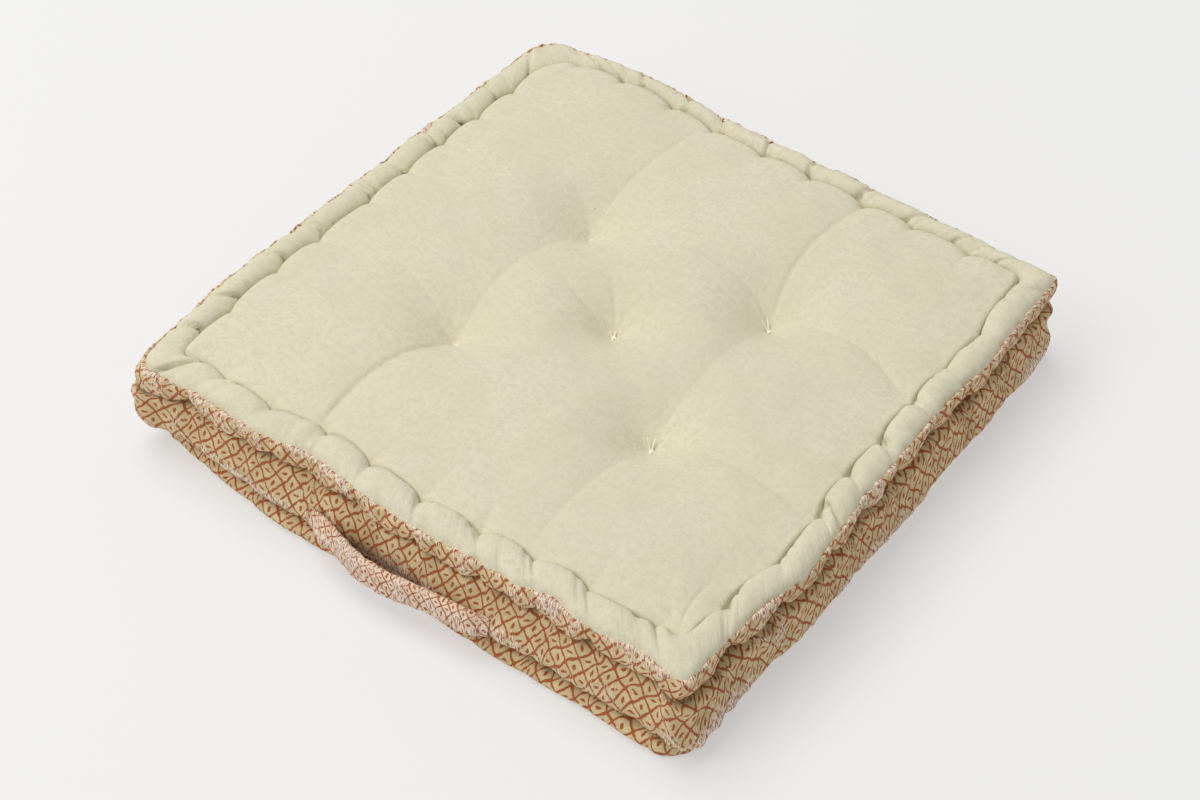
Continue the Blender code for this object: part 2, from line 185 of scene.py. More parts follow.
# Creases of the top panel, in mm: each a curve from start to end, drawn towards bend.
# line is how deep its sharp middle is.
Crease = namedtuple("Crease", "start bend end start_depth end_depth width line")
CREASES = (
    Crease((-77, 83), (-88, 150), (-70, 230), 8.0, 2.5, 15, 0.8),
    Crease((-77, 83), (-104, 10), (-87, -77), 7.0, 7.0, 16, 0.5),
    Crease((-87, -77), (-116, -150), (-97, -230), 8.0, 4.5, 13, 2.8),
    Crease((97, 82), (70, 150), (88, 228), 7.0, 3.5, 14, 1.5),
    Crease((97, 82), (92, 0), (100, -79), 6.0, 6.0, 18, 0.4),
    Crease((100, -79), (90, -150), (97, -230), 6.0, 1.5, 17, 0.4),
    Crease((97, 82), (160, 112), (236, 60), 6.0, 3.5, 13, 0.9),
    Crease((100, -79), (150, -58), (236, -80), 6.0, 4.0, 14, 0.9),
    Crease((97, 82), (65, 112), (10, 96), 6.0, 1.0, 12, 1.2),
    Crease((5, 3), (30, 20), (58, 24), 6.0, 1.0, 10, 1.4),
    Crease((5, 3), (-25, 6), (-58, 16), 5.0, 1.0, 11, 0.7),
    Crease((5, 3), (-6, 22), (-24, 40), 5.0, 1.0, 9, 0.9),
    Crease((-77, 83), (-52, 100), (-22, 110), 5.0, 0.5, 9, 1.5),
    Crease((-87, -77), (-120, -60), (-165, -52), 5.0, 0.5, 12, 0.7),
    Crease((228, -226), (212, -200), (218, -166), 3.0, 0.3, 6, 1.0),
    Crease((228, -226), (198, -211), (172, -219), 3.0, 0.3, 6, 1.0),
    Crease((226, -226), (206, -206), (192, -184), 2.0, 0.2, 7, 0.5),
    Crease((-228, -228), (-212, -208), (-196, -198), 2.0, 0.2, 7, 0.6),
)
CREASE_SAMPLES = 40
LINE_WIDTH = 1.5 * MM

# Creases across the roll, in mm: where each starts in the groove and ends at the seam
RollCrease = namedtuple("RollCrease", "side inner outer depth width")
ROLL_CREASES = (
    RollCrease("front", -229, -236, 9.0, 2.6),
    RollCrease("front", -128, -114, 1.2, 4.0),
    RollCrease("front", -100, -94, 2.2, 2.6),
    RollCrease("front", -107, -101, 1.4, 2.6),
    RollCrease("front", 16, 20, 1.0, 3.0),
    RollCrease("front", 45, 47, 0.8, 3.0),
    RollCrease("front", 86, 84, 0.9, 3.0),
    RollCrease("front", 214, 212, 1.5, 3.5),
    RollCrease("right", -206, -208, 1.4, 3.0),
    RollCrease("right", -76, -64, 5.0, 2.6),
    RollCrease("right", 14, 10, 4.0, 2.6),
    RollCrease("right", 66, 66, 4.4, 2.6),
    RollCrease("right", 98, 104, 1.0, 3.5),
    RollCrease("right", 214, 236, 2.2, 3.5),
    RollCrease("back", -204, -212, 3.0, 2.6),
    RollCrease("back", -180, -200, 1.8, 3.0),
    RollCrease("back", -163, -156, 3.8, 2.3),
    RollCrease("back", -112, -104, 3.4, 2.3),
    RollCrease("back", -62, -68, 4.4, 2.3),
    RollCrease("back", -12, -20, 4.4, 2.3),
    RollCrease("back", 32, 26, 3.8, 2.3),
    RollCrease("back", 86, 82, 4.4, 2.3),
    RollCrease("back", 132, 138, 3.4, 2.3),
    RollCrease("back", 184, 180, 3.4, 2.3),
    RollCrease("back", 226, 224, 2.4, 3.0),
    RollCrease("left", -226, -208, 8.0, 2.4),
    RollCrease("left", -168, -176, 4.4, 2.3),
    RollCrease("left", -160, -152, 2.6, 2.3),
    RollCrease("left", -114, -104, 5.2, 2.3),
    RollCrease("left", -98, -92, 2.4, 2.6),
    RollCrease("left", -68, -60, 4.6, 2.3),
    RollCrease("left", -52, -48, 2.2, 2.6),
    RollCrease("left", -6, 2, 5.2, 2.3),
    RollCrease("left", 2, 12, 2.6, 2.3),
    RollCrease("left", 42, 38, 4.6, 2.3),
    RollCrease("left", 86, 92, 4.2, 2.3),
    RollCrease("left", 104, 100, 2.4, 2.6),
    RollCrease("left", 132, 112, 7.5, 2.4),
    RollCrease("left", 176, 168, 4.0, 2.3),
    RollCrease("left", 214, 232, 3.0, 3.4),
)

# Places where a deep crease lifts the strip's lower edge, in mm along a side
Notch = namedtuple("Notch", "side place lift width")
NOTCHES = (
    Notch("right", -200, 5.0, 9),
    Notch("right", -142, 5.0, 8),
    Notch("right", -82, 9.0, 8),
    Notch("right", -34, 4.0, 8),
    Notch("right", 6, 8.0, 8),
    Notch("right", 58, 9.0, 8),
    Notch("right", 104, 4.5, 9),
    Notch("right", 150, 5.0, 9),
    Notch("right", 205, 6.0, 10),
    Notch("front", -206, 5.0, 9),
    Notch("front", -128, 3.5, 9),
    Notch("front", -60, 4.0, 9),
    Notch("front", 92, 3.5, 9),
    Notch("front", 168, 3.0, 9),
    Notch("left", -130, 4.0, 9),
    Notch("left", 60, 4.0, 9),
    Notch("back", -90, 4.0, 9),
    Notch("back", 110, 4.0, 9),
)

# Pleats of the boxing under each stitch: share of depth for each side, and their spread
PLEAT_DEPTHS = {"front": 2.6 * MM, "right": 5.0 * MM, "back": 3.2 * MM, "left": 3.2 * MM}
PLEAT_OFFSETS = (-9.0, -3.0, 4.0, 10.0)
PLEAT_SEED = 11

# Strap
STRAP_START = -78 * MM
STRAP_END = 92 * MM
STRAP_WIDTH = 24 * MM
STRAP_THICKNESS = 10 * MM
STRAP_HEM = 14 * MM
STRAP_RISE = 46 * MM
STRAP_FALL = 80 * MM
STRAP_REACH = HALF + 13 * MM
STRAP_SAG = 2 * MM
STRAP_MIDDLE_HEIGHT = 29 * MM
STRAP_STATIONS = 150
STRAP_SIDES = 36

# Threads
THREAD_RADIUS = 0.75 * MM
KNOT_RADIUS = 1.7 * MM

# Print, in mm along and up the cloth: the two edges of one lozenge, the line's half width, how
# far the lines wander, half the leaf's length and width, and how its two kinds lean
FALLING_EDGE = (6.3, -7.8)
RISING_EDGE = (9.4, 11.4)
LINE_HALF_WIDTH = 0.95
LINE_WANDER = 1.1
LEAF_HALF = (3.2, 1.35)
LEAF_LEANS = (math.radians(14), math.radians(80))
# Colour of the shade painted into the recesses: under the strip, along the base groove, in pleats and
# behind the strap
PAINTED_SHADE_COLOUR = (0.15, 0.08, 0.03, 1)

# Camera: it stands where the photograph was taken from
CAMERA_AZIMUTH = math.radians(35.906)
CAMERA_ELEVATION = math.radians(45.25)
CAMERA_ROLL = math.radians(1.057)
CAMERA_DISTANCE = 1.93555
CAMERA_OFFSET = (-0.00483, -0.05991)
CAMERA_LENS = 75.53
CAMERA_SENSOR = 36.0
SEAM_HEIGHT = 80 * MM

# Light
KEY_HEADING = math.radians(172)
KEY_ELEVATION = math.radians(68)
KEY_DISTANCE = 5.0
KEY_SIZE = 4.0
KEY_POWER = 127
FILL_HEADING = math.radians(243)
FILL_ELEVATION = math.radians(50)
FILL_DISTANCE = 5.0
FILL_SIZE = 3.0
FILL_POWER = 68
WORLD_STRENGTH = 0.42
FLOOR_SIDE = 60.0
FLOOR_COLOUR = (0.43, 0.427, 0.43, 1.0)
FLOOR_GLOW = 0.425


# Shared shape functions


def smooth_step(value):
    value = np.clip(value, 0.0, 1.0)
    return value * value * (3 - 2 * value)


def rumple(points, size, seed, waves=22):
    """Smooth seeded unevenness of about -1 to 1 at points in space, with bumps of about that size."""
    draw = np.random.default_rng(seed)
    total = np.zeros(points.shape[:-1])
    for _ in range(waves):
        heading = draw.normal(size=3)
        heading *= math.pi / size * draw.uniform(0.6, 1.5) / np.linalg.norm(heading)
        total += np.cos(points @ heading + draw.uniform(0, 2 * math.pi))
    return total / math.sqrt(waves)


def groove_half():
    """Half the side of a square through the panel's grooves, before each side's own shift."""
    return HALF - ROLL_ROWS[0].inset * MM


def stations(side):
    """Places along a side from one corner of the panel to the other, some steps for each stitch."""
    knots = [-groove_half(), *(stitch * MM for stitch in side.stitches), groove_half()]
    places = [
        low + (high - low) * step / STEPS_PER_SPAN
        for low, high in zip(knots, knots[1:])
        for step in range(STEPS_PER_SPAN)
    ]
    return np.array([*places, knots[-1]])


def stitch_pull(side, along):
    """About 1 at a stitch and 0 midway between two, round like the puff that they make."""
    draw = np.random.default_rng(STITCH_SEED + SIDES.index(side))
    strengths = np.array([0, *draw.uniform(0.7, 1.15, len(side.stitches)), 0])
    knots = np.array([-groove_half(), *(stitch * MM for stitch in side.stitches), groove_half()])
    span = np.clip(np.searchsorted(knots, along, side="right") - 1, 0, len(knots) - 2)
    share = np.clip((along - knots[span]) / (knots[span + 1] - knots[span]), 0, 1)
    strength = np.where(share < 0.5, strengths[span], strengths[span + 1])
    return strength * (1 - (1 - np.abs(2 * share - 1) ** PUFF_POWER) ** PUFF_ROUND)


def swelling(swells, side, along):
    out = np.zeros_like(along)
    for swell in swells:
        if swell.side == side.name:
            distance = np.abs(along - swell.centre * MM) / (swell.reach * MM)
            out += swell.out * MM * (1 - smooth_step(distance))
    return out


def fade_to_corners(along):
    """1 along a side, 0 at the corners of the panel, so that two sides meet in one line."""
    return smooth_step((groove_half() - np.abs(along)) / CORNER_FADE)


def row_half(row, side):
    """How far out a row runs on a side, without dents and swellings."""
    inset = row.inset + row.groove * side.groove_in + row.low_in * side.slump
    return HALF - inset * MM


def side_line(row, side):
    """Along, outward distance and height of one row's points on one side."""
    before, after = (LEFT, RIGHT) if side in (FRONT, BACK) else (FRONT, BACK)
    panel_along = stations(side)
    share = panel_along / groove_half()
    corner_out = -row.corner * MM
    low = -row_half(row, before) - corner_out
    high = row_half(row, after) + corner_out
    shift = side.boxing_shift * MM * row.shift * (1 - share**2)
    along = low + (high - low) * (share + 1) / 2 + shift
    fade = fade_to_corners(panel_along)
    pull = stitch_pull(side, panel_along) * fade
    swell = (1 - row.base) * swelling(SEAM_SWELLS, side, along)
    swell = swell + row.base * swelling(BASE_SWELLS, side, along)
    to_corner = groove_half() * (1 - np.abs(share))
    cornered = corner_out * (1 - smooth_step(to_corner / CORNER_REACH))
    out = row_half(row, side) + swell * fade + cornered
    out = out - (row.pull + row.cusp * side.cusp) * MM * pull
    lower = row.low_down * (side.slump * fade + CORNER_SLUMP * (1 - fade))
    beside = np.where(share < 0, before.full, after.full)
    higher = row.full * (side.full * fade + 0.5 * (side.full + beside) * (1 - fade))
    height = row.height * MM + side.puff * row.drop * MM * pull + (higher - lower) * MM
    return along, out, height


def around(front, right, back, left):
    """Four sides' values joined into one ring, from the front's left corner, seen from above."""
    return np.concatenate([front[:-1], right[:-1], back[:0:-1], left[:0:-1]])


def square_ring(row):
    """The row's ring of points before its corners are rounded."""
    lines = [side_line(row, side) for side in SIDES]
    front, right, back, left = lines
    x = around(front[0], right[1], back[0], -left[1])
    y = around(-front[1], right[0], back[1], left[0])
    z = around(*(line[2] for line in lines))
    return np.stack([x, y, z], axis=-1)


def corner_places():
    """Numbers of the ring's four corner points, in the order of CORNERS."""
    across, deep = len(stations(FRONT)) - 1, len(stations(LEFT)) - 1
    return (0, across, across + deep, 2 * across + deep)


def round_corners(rings, past_groove, base):
    """Moves the points of each square ring onto its corners' round plan, and pulls out the ears.

    past_groove and base say, for each ring, how far it lies from the groove to the seam and from
    the seam to the base."""
    x, y = rings[..., 0].copy(), rings[..., 1].copy()
    for corner, number in zip(CORNERS, corner_places()):
        tip_x = corner.x_sign * rings[:, number, 0][:, None]
        tip_y = corner.y_sign * rings[:, number, 1][:, None]
        radius = corner.groove_radius + (corner.seam_radius - corner.groove_radius) * past_groove
        radius = (radius + (corner.base_radius - corner.seam_radius) * base)[:, None] * MM
        past_x = corner.x_sign * x - (tip_x - radius)
        past_y = corner.y_sign * y - (tip_y - radius)
        inside = (past_x > 0) & (past_y > 0)
        length = np.maximum(np.hypot(past_x, past_y), 1e-9)
        scale = np.where(inside, np.maximum(past_x, past_y) / length, 1.0)
        x = np.where(inside, corner.x_sign * (tip_x - radius + past_x * scale), x)
        y = np.where(inside, corner.y_sign * (tip_y - radius + past_y * scale), y)
        distance = np.hypot(tip_x - corner.x_sign * x, tip_y - corner.y_sign * y)
        reach = corner.ear * base + corner.bulge * 4 * base * (1 - base)
        pull = reach[:, None] * MM * np.exp(-((distance / EAR_REACH) ** 2))
        x = x + corner.x_sign * pull * math.sqrt(0.5)
        y = y + corner.y_sign * pull * math.sqrt(0.5)
    return np.stack([x, y, rings[..., 2]], axis=-1)


def spline_levels(rings, knots, levels):
    """Rings at new levels on smooth curves through the given rings."""
    knots = np.asarray(knots, float)
    slopes = np.gradient(rings, knots, axis=0)
    at = np.clip(np.searchsorted(knots, levels, side="right") - 1, 0, len(knots) - 2)
    width = (knots[at + 1] - knots[at]).reshape(-1, *([1] * (rings.ndim - 1)))
    t = ((levels - knots[at]) / (knots[at + 1] - knots[at])).reshape(width.shape)
    start, end = rings[at], rings[at + 1]
    first, last = slopes[at] * width, slopes[at + 1] * width
    return (
        (2 * t**3 - 3 * t**2 + 1) * start
        + (t**3 - 2 * t**2 + t) * first
        + (3 * t**2 - 2 * t**3) * end
        + (t**3 - t**2) * last
    )


def row_distances(rows):
    """How far each row lies down the profile from the first, halfway between two stitches."""
    places = np.array([(row.inset, row.height) for row in rows]) * MM
    steps = np.linalg.norm(np.diff(places, axis=0), axis=1)
    return np.concatenate([[0], np.cumsum(steps)])


def case_rings(rows, levels):
    """Rings of points at levels down the rows, in metres from the first row."""
    knots = row_distances(rows)
    rings = spline_levels(np.array([square_ring(row) for row in rows]), knots, levels)
    base = np.interp(levels, knots, [row.base for row in rows])
    past_groove = np.interp(levels, knots, [1 - row.groove for row in rows])
    return round_corners(rings, past_groove, base)


def roll_levels():
    return np.linspace(0, row_distances(ROLL_ROWS)[-1], ROLL_LEVELS)


def boxing_levels():
    """Levels down the boxing, closer together over the ridge along the seam."""
    knots = row_distances(BOXING_ROWS)
    ridge = np.linspace(0, knots[2], RIDGE_LEVELS)
    return np.concatenate([ridge[:-1], np.linspace(knots[2], knots[-1], BOXING_LEVELS)])


def ring_normals(rings):
    """Outward normals of a tube of rings."""
    along = np.roll(rings, -1, axis=1) - np.roll(rings, 1, axis=1)
    down = np.gradient(rings, axis=0)
    normals = np.cross(down, along)
    return normals / np.maximum(np.linalg.norm(normals, axis=-1, keepdims=True), 1e-12)


def ring_distance():
    """How far round the case each station lies, in metres along the seam, and the whole way round."""
    ring = round_corners(square_ring(ROLL_ROWS[-1])[None], np.ones(1), np.zeros(1))[0]
    steps = np.linalg.norm(np.roll(ring, -1, axis=0) - ring, axis=1)
    return np.concatenate([[0], np.cumsum(steps)[:-1]]), steps.sum()


def place_round(side, along):
    """Where a place along a side, in metres, lies round the case."""
    distance, _ = ring_distance()
    starts = np.cumsum([0, *(len(stations(each)) - 1 for each in SIDES)])
    number = [each.name for each in SIDES].index(side.name)
    inside = np.append(distance, ring_distance()[1])[starts[number] : starts[number + 1] + 1]
    places = stations(side) * HALF / groove_half()
    if side.name in ("back", "left"):
        return float(np.interp(-along, -places[::-1], inside))
    return float(np.interp(along, places, inside))


def round_gap(distance, place, whole):
    """Signed distance from a place round the case, the shorter way."""
    return (distance - place + whole / 2) % whole - whole / 2


# Top panel


def groove_gap(side, outward, along):
    """How far inside a side's groove a place lies."""
    fade = fade_to_corners(along)
    groove = row_half(ROLL_ROWS[0], side) - side.cusp * MM * stitch_pull(side, along) * fade
    return groove + swelling(SEAM_SWELLS, side, along) * fade - outward


def edge_distance(x, y):
    """How far inside the panel's groove a place lies, with the groove's round corners."""
    gaps = {
        (0, -1): groove_gap(FRONT, -y, x),
        (1, 0): groove_gap(RIGHT, x, y),
        (0, 1): groove_gap(BACK, y, x),
        (-1, 0): groove_gap(LEFT, -x, y),
    }
    edge = np.minimum.reduce(list(gaps.values()))
    for corner in CORNERS:
        radius = corner.groove_radius * MM
        in_x = radius - gaps[(corner.x_sign, 0)]
        in_y = radius - gaps[(0, corner.y_sign)]
        inside = (in_x > 0) & (in_y > 0)
        edge = np.where(inside, radius - np.hypot(in_x, in_y), edge)
    return np.maximum(edge, 0)


def crease_depth(crease, x, y):
    """How far one crease lowers the panel: a soft trough along a curve with a sharp middle."""
    t = np.linspace(0, 1, CREASE_SAMPLES)
    start, bend, end = (np.array(point) * MM for point in crease[:3])
    nearest = np.full(x.shape, 1.0)
    share = np.zeros(x.shape)
    ways = t[:, None]
    curve = (1 - ways) ** 2 * start + 2 * ways * (1 - ways) * bend + ways**2 * end
    for k in range(CREASE_SAMPLES - 1):
        leg = curve[k + 1] - curve[k]
        along = ((x - curve[k, 0]) * leg[0] + (y - curve[k, 1]) * leg[1]) / (leg @ leg)
        along = np.clip(along, 0, 1)
        gap = np.hypot(x - curve[k, 0] - along * leg[0], y - curve[k, 1] - along * leg[1])
        closer = gap < nearest
        nearest = np.where(closer, gap, nearest)
        share = np.where(closer, (k + along) / (CREASE_SAMPLES - 1), share)
    depth = crease.start_depth + (crease.end_depth - crease.start_depth) * share
    ends = smooth_step(share / 0.12) * smooth_step((1 - share) / 0.2)
    line = crease.line * ends * np.exp(-((nearest / LINE_WIDTH) ** 1.4))
    return depth * MM * np.exp(-nearest / (crease.width * MM)), line * MM


def tuft_depth(x, y):
    depth = np.zeros_like(x)
    for tuft in TUFTS:
        radius = np.hypot(x - tuft.x * MM, y - tuft.y * MM)
        core = np.exp(-((radius / TUFT_CORE) ** 1.2))
        skirt = np.exp(-((radius / TUFT_SKIRT) ** 2))
        depth += TUFT_DEPTH * (0.5 * core + 0.5 * skirt)
    return depth


def tuft_spokes(x, y):
    """Small wrinkles that run out of each tuft."""
    height = np.zeros_like(x)
    for number, tuft in enumerate(TUFTS):
        draw = np.random.default_rng(40 + number)
        dx, dy = x - tuft.x * MM, y - tuft.y * MM
        radius, heading = np.hypot(dx, dy), np.arctan2(dy, dx)
        ripple = np.zeros_like(x)
        for spokes in (5, 7, 9, 11):
            ripple += draw.uniform(0.4, 1) * np.cos(spokes * heading + draw.uniform(0, 6.28))
        height += 0.45 * MM * ripple * np.exp(-radius / (16 * MM)) * smooth_step(radius / (7 * MM))
    return height


def stitch_valleys(x, y):
    """How far the stitches in the groove lower the panel: puffed edges and short folds."""
    depth = np.zeros_like(x)
    for side in SIDES:
        draw = np.random.default_rng(60 + len(side.name) + len(side.stitches))
        upright = side.name in ("left", "right")
        along = y if upright else x
        outward = {"front": -y, "back": y, "left": -x, "right": x}[side.name]
        inward = np.maximum(groove_gap(side, outward, along), 0)
        depth += side.dip * PUFF_DEPTH * stitch_pull(side, along) * np.exp(-inward / PUFF_REACH)
        for stitch in side.stitches:
            slant = draw.uniform(-0.3, 0.3)
            reach = draw.uniform(12, 30) * MM
            strength = draw.uniform(0.8, 2.4) * MM
            gap = np.abs(along - stitch * MM - slant * inward)
            depth += strength * np.exp(-((gap / (5 * MM)) ** 1.3)) * np.exp(-inward / reach)
    return depth


def panel_height(x, y, border_height):
    """Height of the panel: round shoulders, tufts, creases and the pull of its stitched border."""
    edge = edge_distance(x, y)
    lip = 1 - np.exp(-edge / LIP_REACH)
    shoulder = 1 - np.exp(-edge / SHOULDER)
    soft = np.zeros_like(x)
    sharp = np.zeros_like(x)
    for crease in CREASES:
        trough, line = crease_depth(crease, x, y)
        soft += trough
        sharp += line
    limit = 0.4 * CROWN * np.tanh(soft / (0.4 * CROWN))
    near = smooth_step(0.5 + (x - y) / LIP_TURN)
    lip_height = LIP_FAR + (LIP_NEAR - LIP_FAR) * near
    crown = lip_height * lip + (CROWN - lip_height) * shoulder
    crown -= lip * shoulder**0.3 * (limit + sharp) + shoulder * tuft_depth(x, y)
    groove = (border_height - PANEL_LEVEL) * (
        0.6 * np.exp(-edge / BORDER_REACH) + 0.4 * np.exp(-edge / GROOVE_REACH)
    )
    points = np.stack([x, y, np.zeros_like(x)], axis=-1)
    uneven = 0.7 * MM * rumple(points, 55 * MM, 3) + 0.25 * MM * rumple(points, 16 * MM, 4)
    details = uneven + tuft_spokes(x, y) - stitch_valleys(x, y)
    return PANEL_LEVEL + groove + crown + lip * details


def grid_shape():
    return len(stations(FRONT)) - 1, len(stations(LEFT)) - 1


def filled_grid(ring_points):
    """Points of a grid stretched evenly between the four sides of a ring."""
    across, deep = grid_shape()
    loop = np.vstack([ring_points, ring_points[:1]])
    front = loop[: across + 1]
    right = loop[across : across + deep + 1]
    back = loop[across + deep : 2 * across + deep + 1][::-1]
    left = loop[2 * across + deep :][::-1]
    u = np.linspace(0, 1, across + 1)[:, None, None]
    v = np.linspace(0, 1, deep + 1)[None, :, None]
    between_ends = (1 - v) * front[:, None] + v * back[:, None]
    between_sides = (1 - u) * left[None] + u * right[None]
    corners = (
        (1 - u) * (1 - v) * front[0]
        + u * (1 - v) * front[-1]
        + (1 - u) * v * back[0]
        + u * v * back[-1]
    )
    return between_ends + between_sides - corners


def grid_numbers(ring_start, inner_start):
    """Numbers of a grid's points: its border is a ring of the mesh, and its inside follows later."""
    across, deep = grid_shape()
    numbers = np.zeros((across + 1, deep + 1), int)
    inner = np.arange((across - 1) * (deep - 1)).reshape(across - 1, deep - 1)
    numbers[1:-1, 1:-1] = inner_start + inner
    count = 2 * (across + deep)
    numbers[:, 0] = ring_start + np.arange(across + 1)
    numbers[-1, :] = ring_start + across + np.arange(deep + 1)
    numbers[:, -1] = ring_start + across + deep + np.arange(across + 1)[::-1]
    numbers[0, 1:] = ring_start + (2 * across + deep + np.arange(deep)[::-1]) % count
    return numbers


def grid_faces(numbers):
    low, right = numbers[:-1, :-1], numbers[1:, :-1]
    far, left = numbers[1:, 1:], numbers[:-1, 1:]
    return np.stack([low, right, far, left], axis=-1).reshape(-1, 4)


def ring_faces(levels, count, start=0):
    """Faces between rings of equal length, facing out."""
    numbers = start + np.arange(levels * count).reshape(levels, count)
    after = np.roll(numbers, -1, axis=1)
    faces = np.stack([numbers[:-1], numbers[1:], after[1:], after[:-1]], axis=-1)
    return faces.reshape(-1, 4)


def add_mesh(name, points, faces, material, corner_uv=None):
    mesh = bpy.data.meshes.new(name)
    mesh.from_pydata(np.asarray(points, float).tolist(), [], np.asarray(faces).tolist())
    mesh.materials.append(material)
    mesh.shade_smooth()
    if corner_uv is not None:
        layer = mesh.uv_layers.new(name="cloth")
        layer.data.foreach_set("uv", np.asarray(corner_uv, np.float32).ravel())
    mesh.update()
    obj = bpy.data.objects.new(name, mesh)
    bpy.context.scene.collection.objects.link(obj)
    return obj


def ring_uv(across, down, levels, count):
    """Corner coordinates of ring faces: across has one place more than the ring, to close it."""
    k = np.tile(np.arange(count), levels - 1)
    level = np.repeat(np.arange(levels - 1), count)
    corners = [(level, k), (level + 1, k), (level + 1, k + 1), (level, k + 1)]
    return np.stack(
        [np.stack([across[i, j], down[i, j]], axis=-1) for i, j in corners],
        axis=1,
    )


def fold_depth(distance, whole, share, place, slant, width):
    """1 in the middle of a fold that runs across the roll, falling to 0 beside it."""
    gap = np.abs(round_gap(distance[None], place + slant * share, whole)) / width
    return np.exp(-(gap**1.2))


def roll_dents(levels, count):
    """How far the creases across the roll push each of its points in."""
    distance, whole = ring_distance()
    share = np.linspace(0, 1, levels)[:, None]
    to_seam = 1 - 0.75 * smooth_step((share - 0.8) / 0.2)
    depth = np.zeros((levels, count))
    sides = {side.name: side for side in SIDES}
    for crease in ROLL_CREASES:
        inner = place_round(sides[crease.side], crease.inner * MM)
        outer = place_round(sides[crease.side], crease.outer * MM)
        fold = fold_depth(
            distance, whole, share**0.8, inner, outer - inner, crease.width * 0.8 * MM
        )
        depth += 1.15 * crease.depth * MM * fold * smooth_step(share / 0.15) * to_seam
    for side in SIDES:
        draw = np.random.default_rng(80 + len(side.name))
        for stitch in side.stitches:
            place = place_round(side, stitch * MM)
            for offset, strength, reach in ((0, 1.6, 1.0), (-6, 0.8, 0.6), (6, 0.8, 0.6), (0, 0.9, 0.8)):
                start = place + (offset + draw.uniform(-3, 3)) * MM
                slant = draw.uniform(-9, 9) * MM
                width = draw.uniform(1.7, 2.8) * MM
                depth_here = strength * draw.uniform(0.4, 1.3) * MM
                fold = fold_depth(distance, whole, share, start, slant, width)
                fade = smooth_step(share / 0.1) * np.clip(1 - share / reach, 0, 1) ** 0.6
                depth += depth_here * fold * fade
    return depth


def make_top(cream):
    levels = roll_levels()
    rings = case_rings(ROLL_ROWS, levels)
    count = rings.shape[1]
    normals = ring_normals(rings)
    share = np.linspace(0, 1, ROLL_LEVELS)[:, None]
    uneven = 0.5 * MM * rumple(rings, 24 * MM, 6) + 0.3 * MM * rumple(rings, 9 * MM, 7)
    puckers = 0.35 * MM * rumple(rings, 4.5 * MM, 8) * smooth_step((share - 0.65) / 0.35)
    across = np.broadcast_to(ring_distance()[0], share.shape[:1] + (count,))
    strokes = rumple(np.stack([across, 0.01 * share + 0 * across, 0 * across], axis=-1), 6 * MM, 9)
    puckers = puckers + 0.4 * MM * strokes * smooth_step((share - 0.35) / 0.6)
    moved = (uneven + puckers) * smooth_step(share / 0.25) - roll_dents(ROLL_LEVELS, count)
    rings = rings + normals * moved[..., None]
    grid = filled_grid(rings[0])
    inner = grid[1:-1, 1:-1]
    inner[..., 2] = panel_height(inner[..., 0], inner[..., 1], inner[..., 2])
    tucked = rings[-1:] - normals[-1:] * 1.5 * MM - np.array([0, 0, 2.5 * MM])
    rings = np.concatenate([rings, tucked])
    points = np.concatenate([rings.reshape(-1, 3), inner.reshape(-1, 3)])
    panel_faces = grid_faces(grid_numbers(0, rings.shape[0] * count))
    faces = np.concatenate([panel_faces, ring_faces(rings.shape[0], count)])
    distance, whole = ring_distance()
    across = np.tile(np.append(distance, whole), (rings.shape[0], 1))
    down = np.repeat(np.append(levels, levels[-1])[:, None], count + 1, axis=1)
    roll_uv = ring_uv(across, down, rings.shape[0], count)
    uv = np.concatenate([np.zeros((len(panel_faces), 4, 2)), roll_uv])
    top = add_mesh("top_panel", points, faces, cream, uv)
    rolled = np.repeat(np.append(smooth_step(share / 0.4), 1.0), count)
    add_values(top, "rolled", np.append(rolled, np.zeros(inner.shape[0] * inner.shape[1])))
    return top


# Boxing


def boxing_pleats(distance, whole, levels, groove, base_groove):
    """How far the pleats under and over the stitches push the boxing in."""
    draw = np.random.default_rng(PLEAT_SEED)
    depth = np.zeros((len(levels), len(distance)))
    down = levels[:, None]
    for side in SIDES:
        for stitch in side.stitches:
            share = stitch * MM / groove_half()
            place = stitch * MM / groove_half() * HALF + side.boxing_shift * MM * (1 - share**2)
            centre = place_round(side, place)
            for offset in PLEAT_OFFSETS:
                strength = PLEAT_DEPTHS[side.name] * draw.uniform(0.15, 1.0)
                strength *= 1.0 if abs(offset) < 5 else 0.55
                length = draw.uniform(14, 34) * MM
                lean = draw.uniform(-0.35, 0.35) + 0.02 * offset
                width = draw.uniform(1.6, 3.2) * MM
                for line, way, share_of_depth in (
                    (groove, 1, 1.0),
                    (groove, -1, 0.6),
                    (base_groove, -1, 0.7),
                    (base_groove, 1, 0.5),
                ):
                    past = (down - line) * way
                    run = np.clip(past / length, 0, 1)
                    start = centre + (offset + 3 * (line > groove)) * MM
                    gap = np.abs(round_gap(distance[None], start + lean * past, whole)) / width
                    fade = smooth_step((past + 3 * MM) / (5 * MM)) * (1 - run) ** 1.3
                    depth += share_of_depth * strength * np.exp(-(gap**1.15)) * fade
    return depth


def notch_lift(distance, whole, levels, foot):
    """How far the notches lift the strip's lower edge."""
    lift = np.zeros((len(levels), len(distance)))
    near_foot = np.exp(-(((levels - foot) / (9 * MM)) ** 2))[:, None]
    sides = {side.name: side for side in SIDES}
    for notch in NOTCHES:
        place = place_round(sides[notch.side], notch.place * MM)
        gap = np.abs(round_gap(distance[None], place, whole)) / (notch.width * MM)
        lift += notch.lift * MM * np.exp(-(gap**1.6)) * near_foot
    return lift


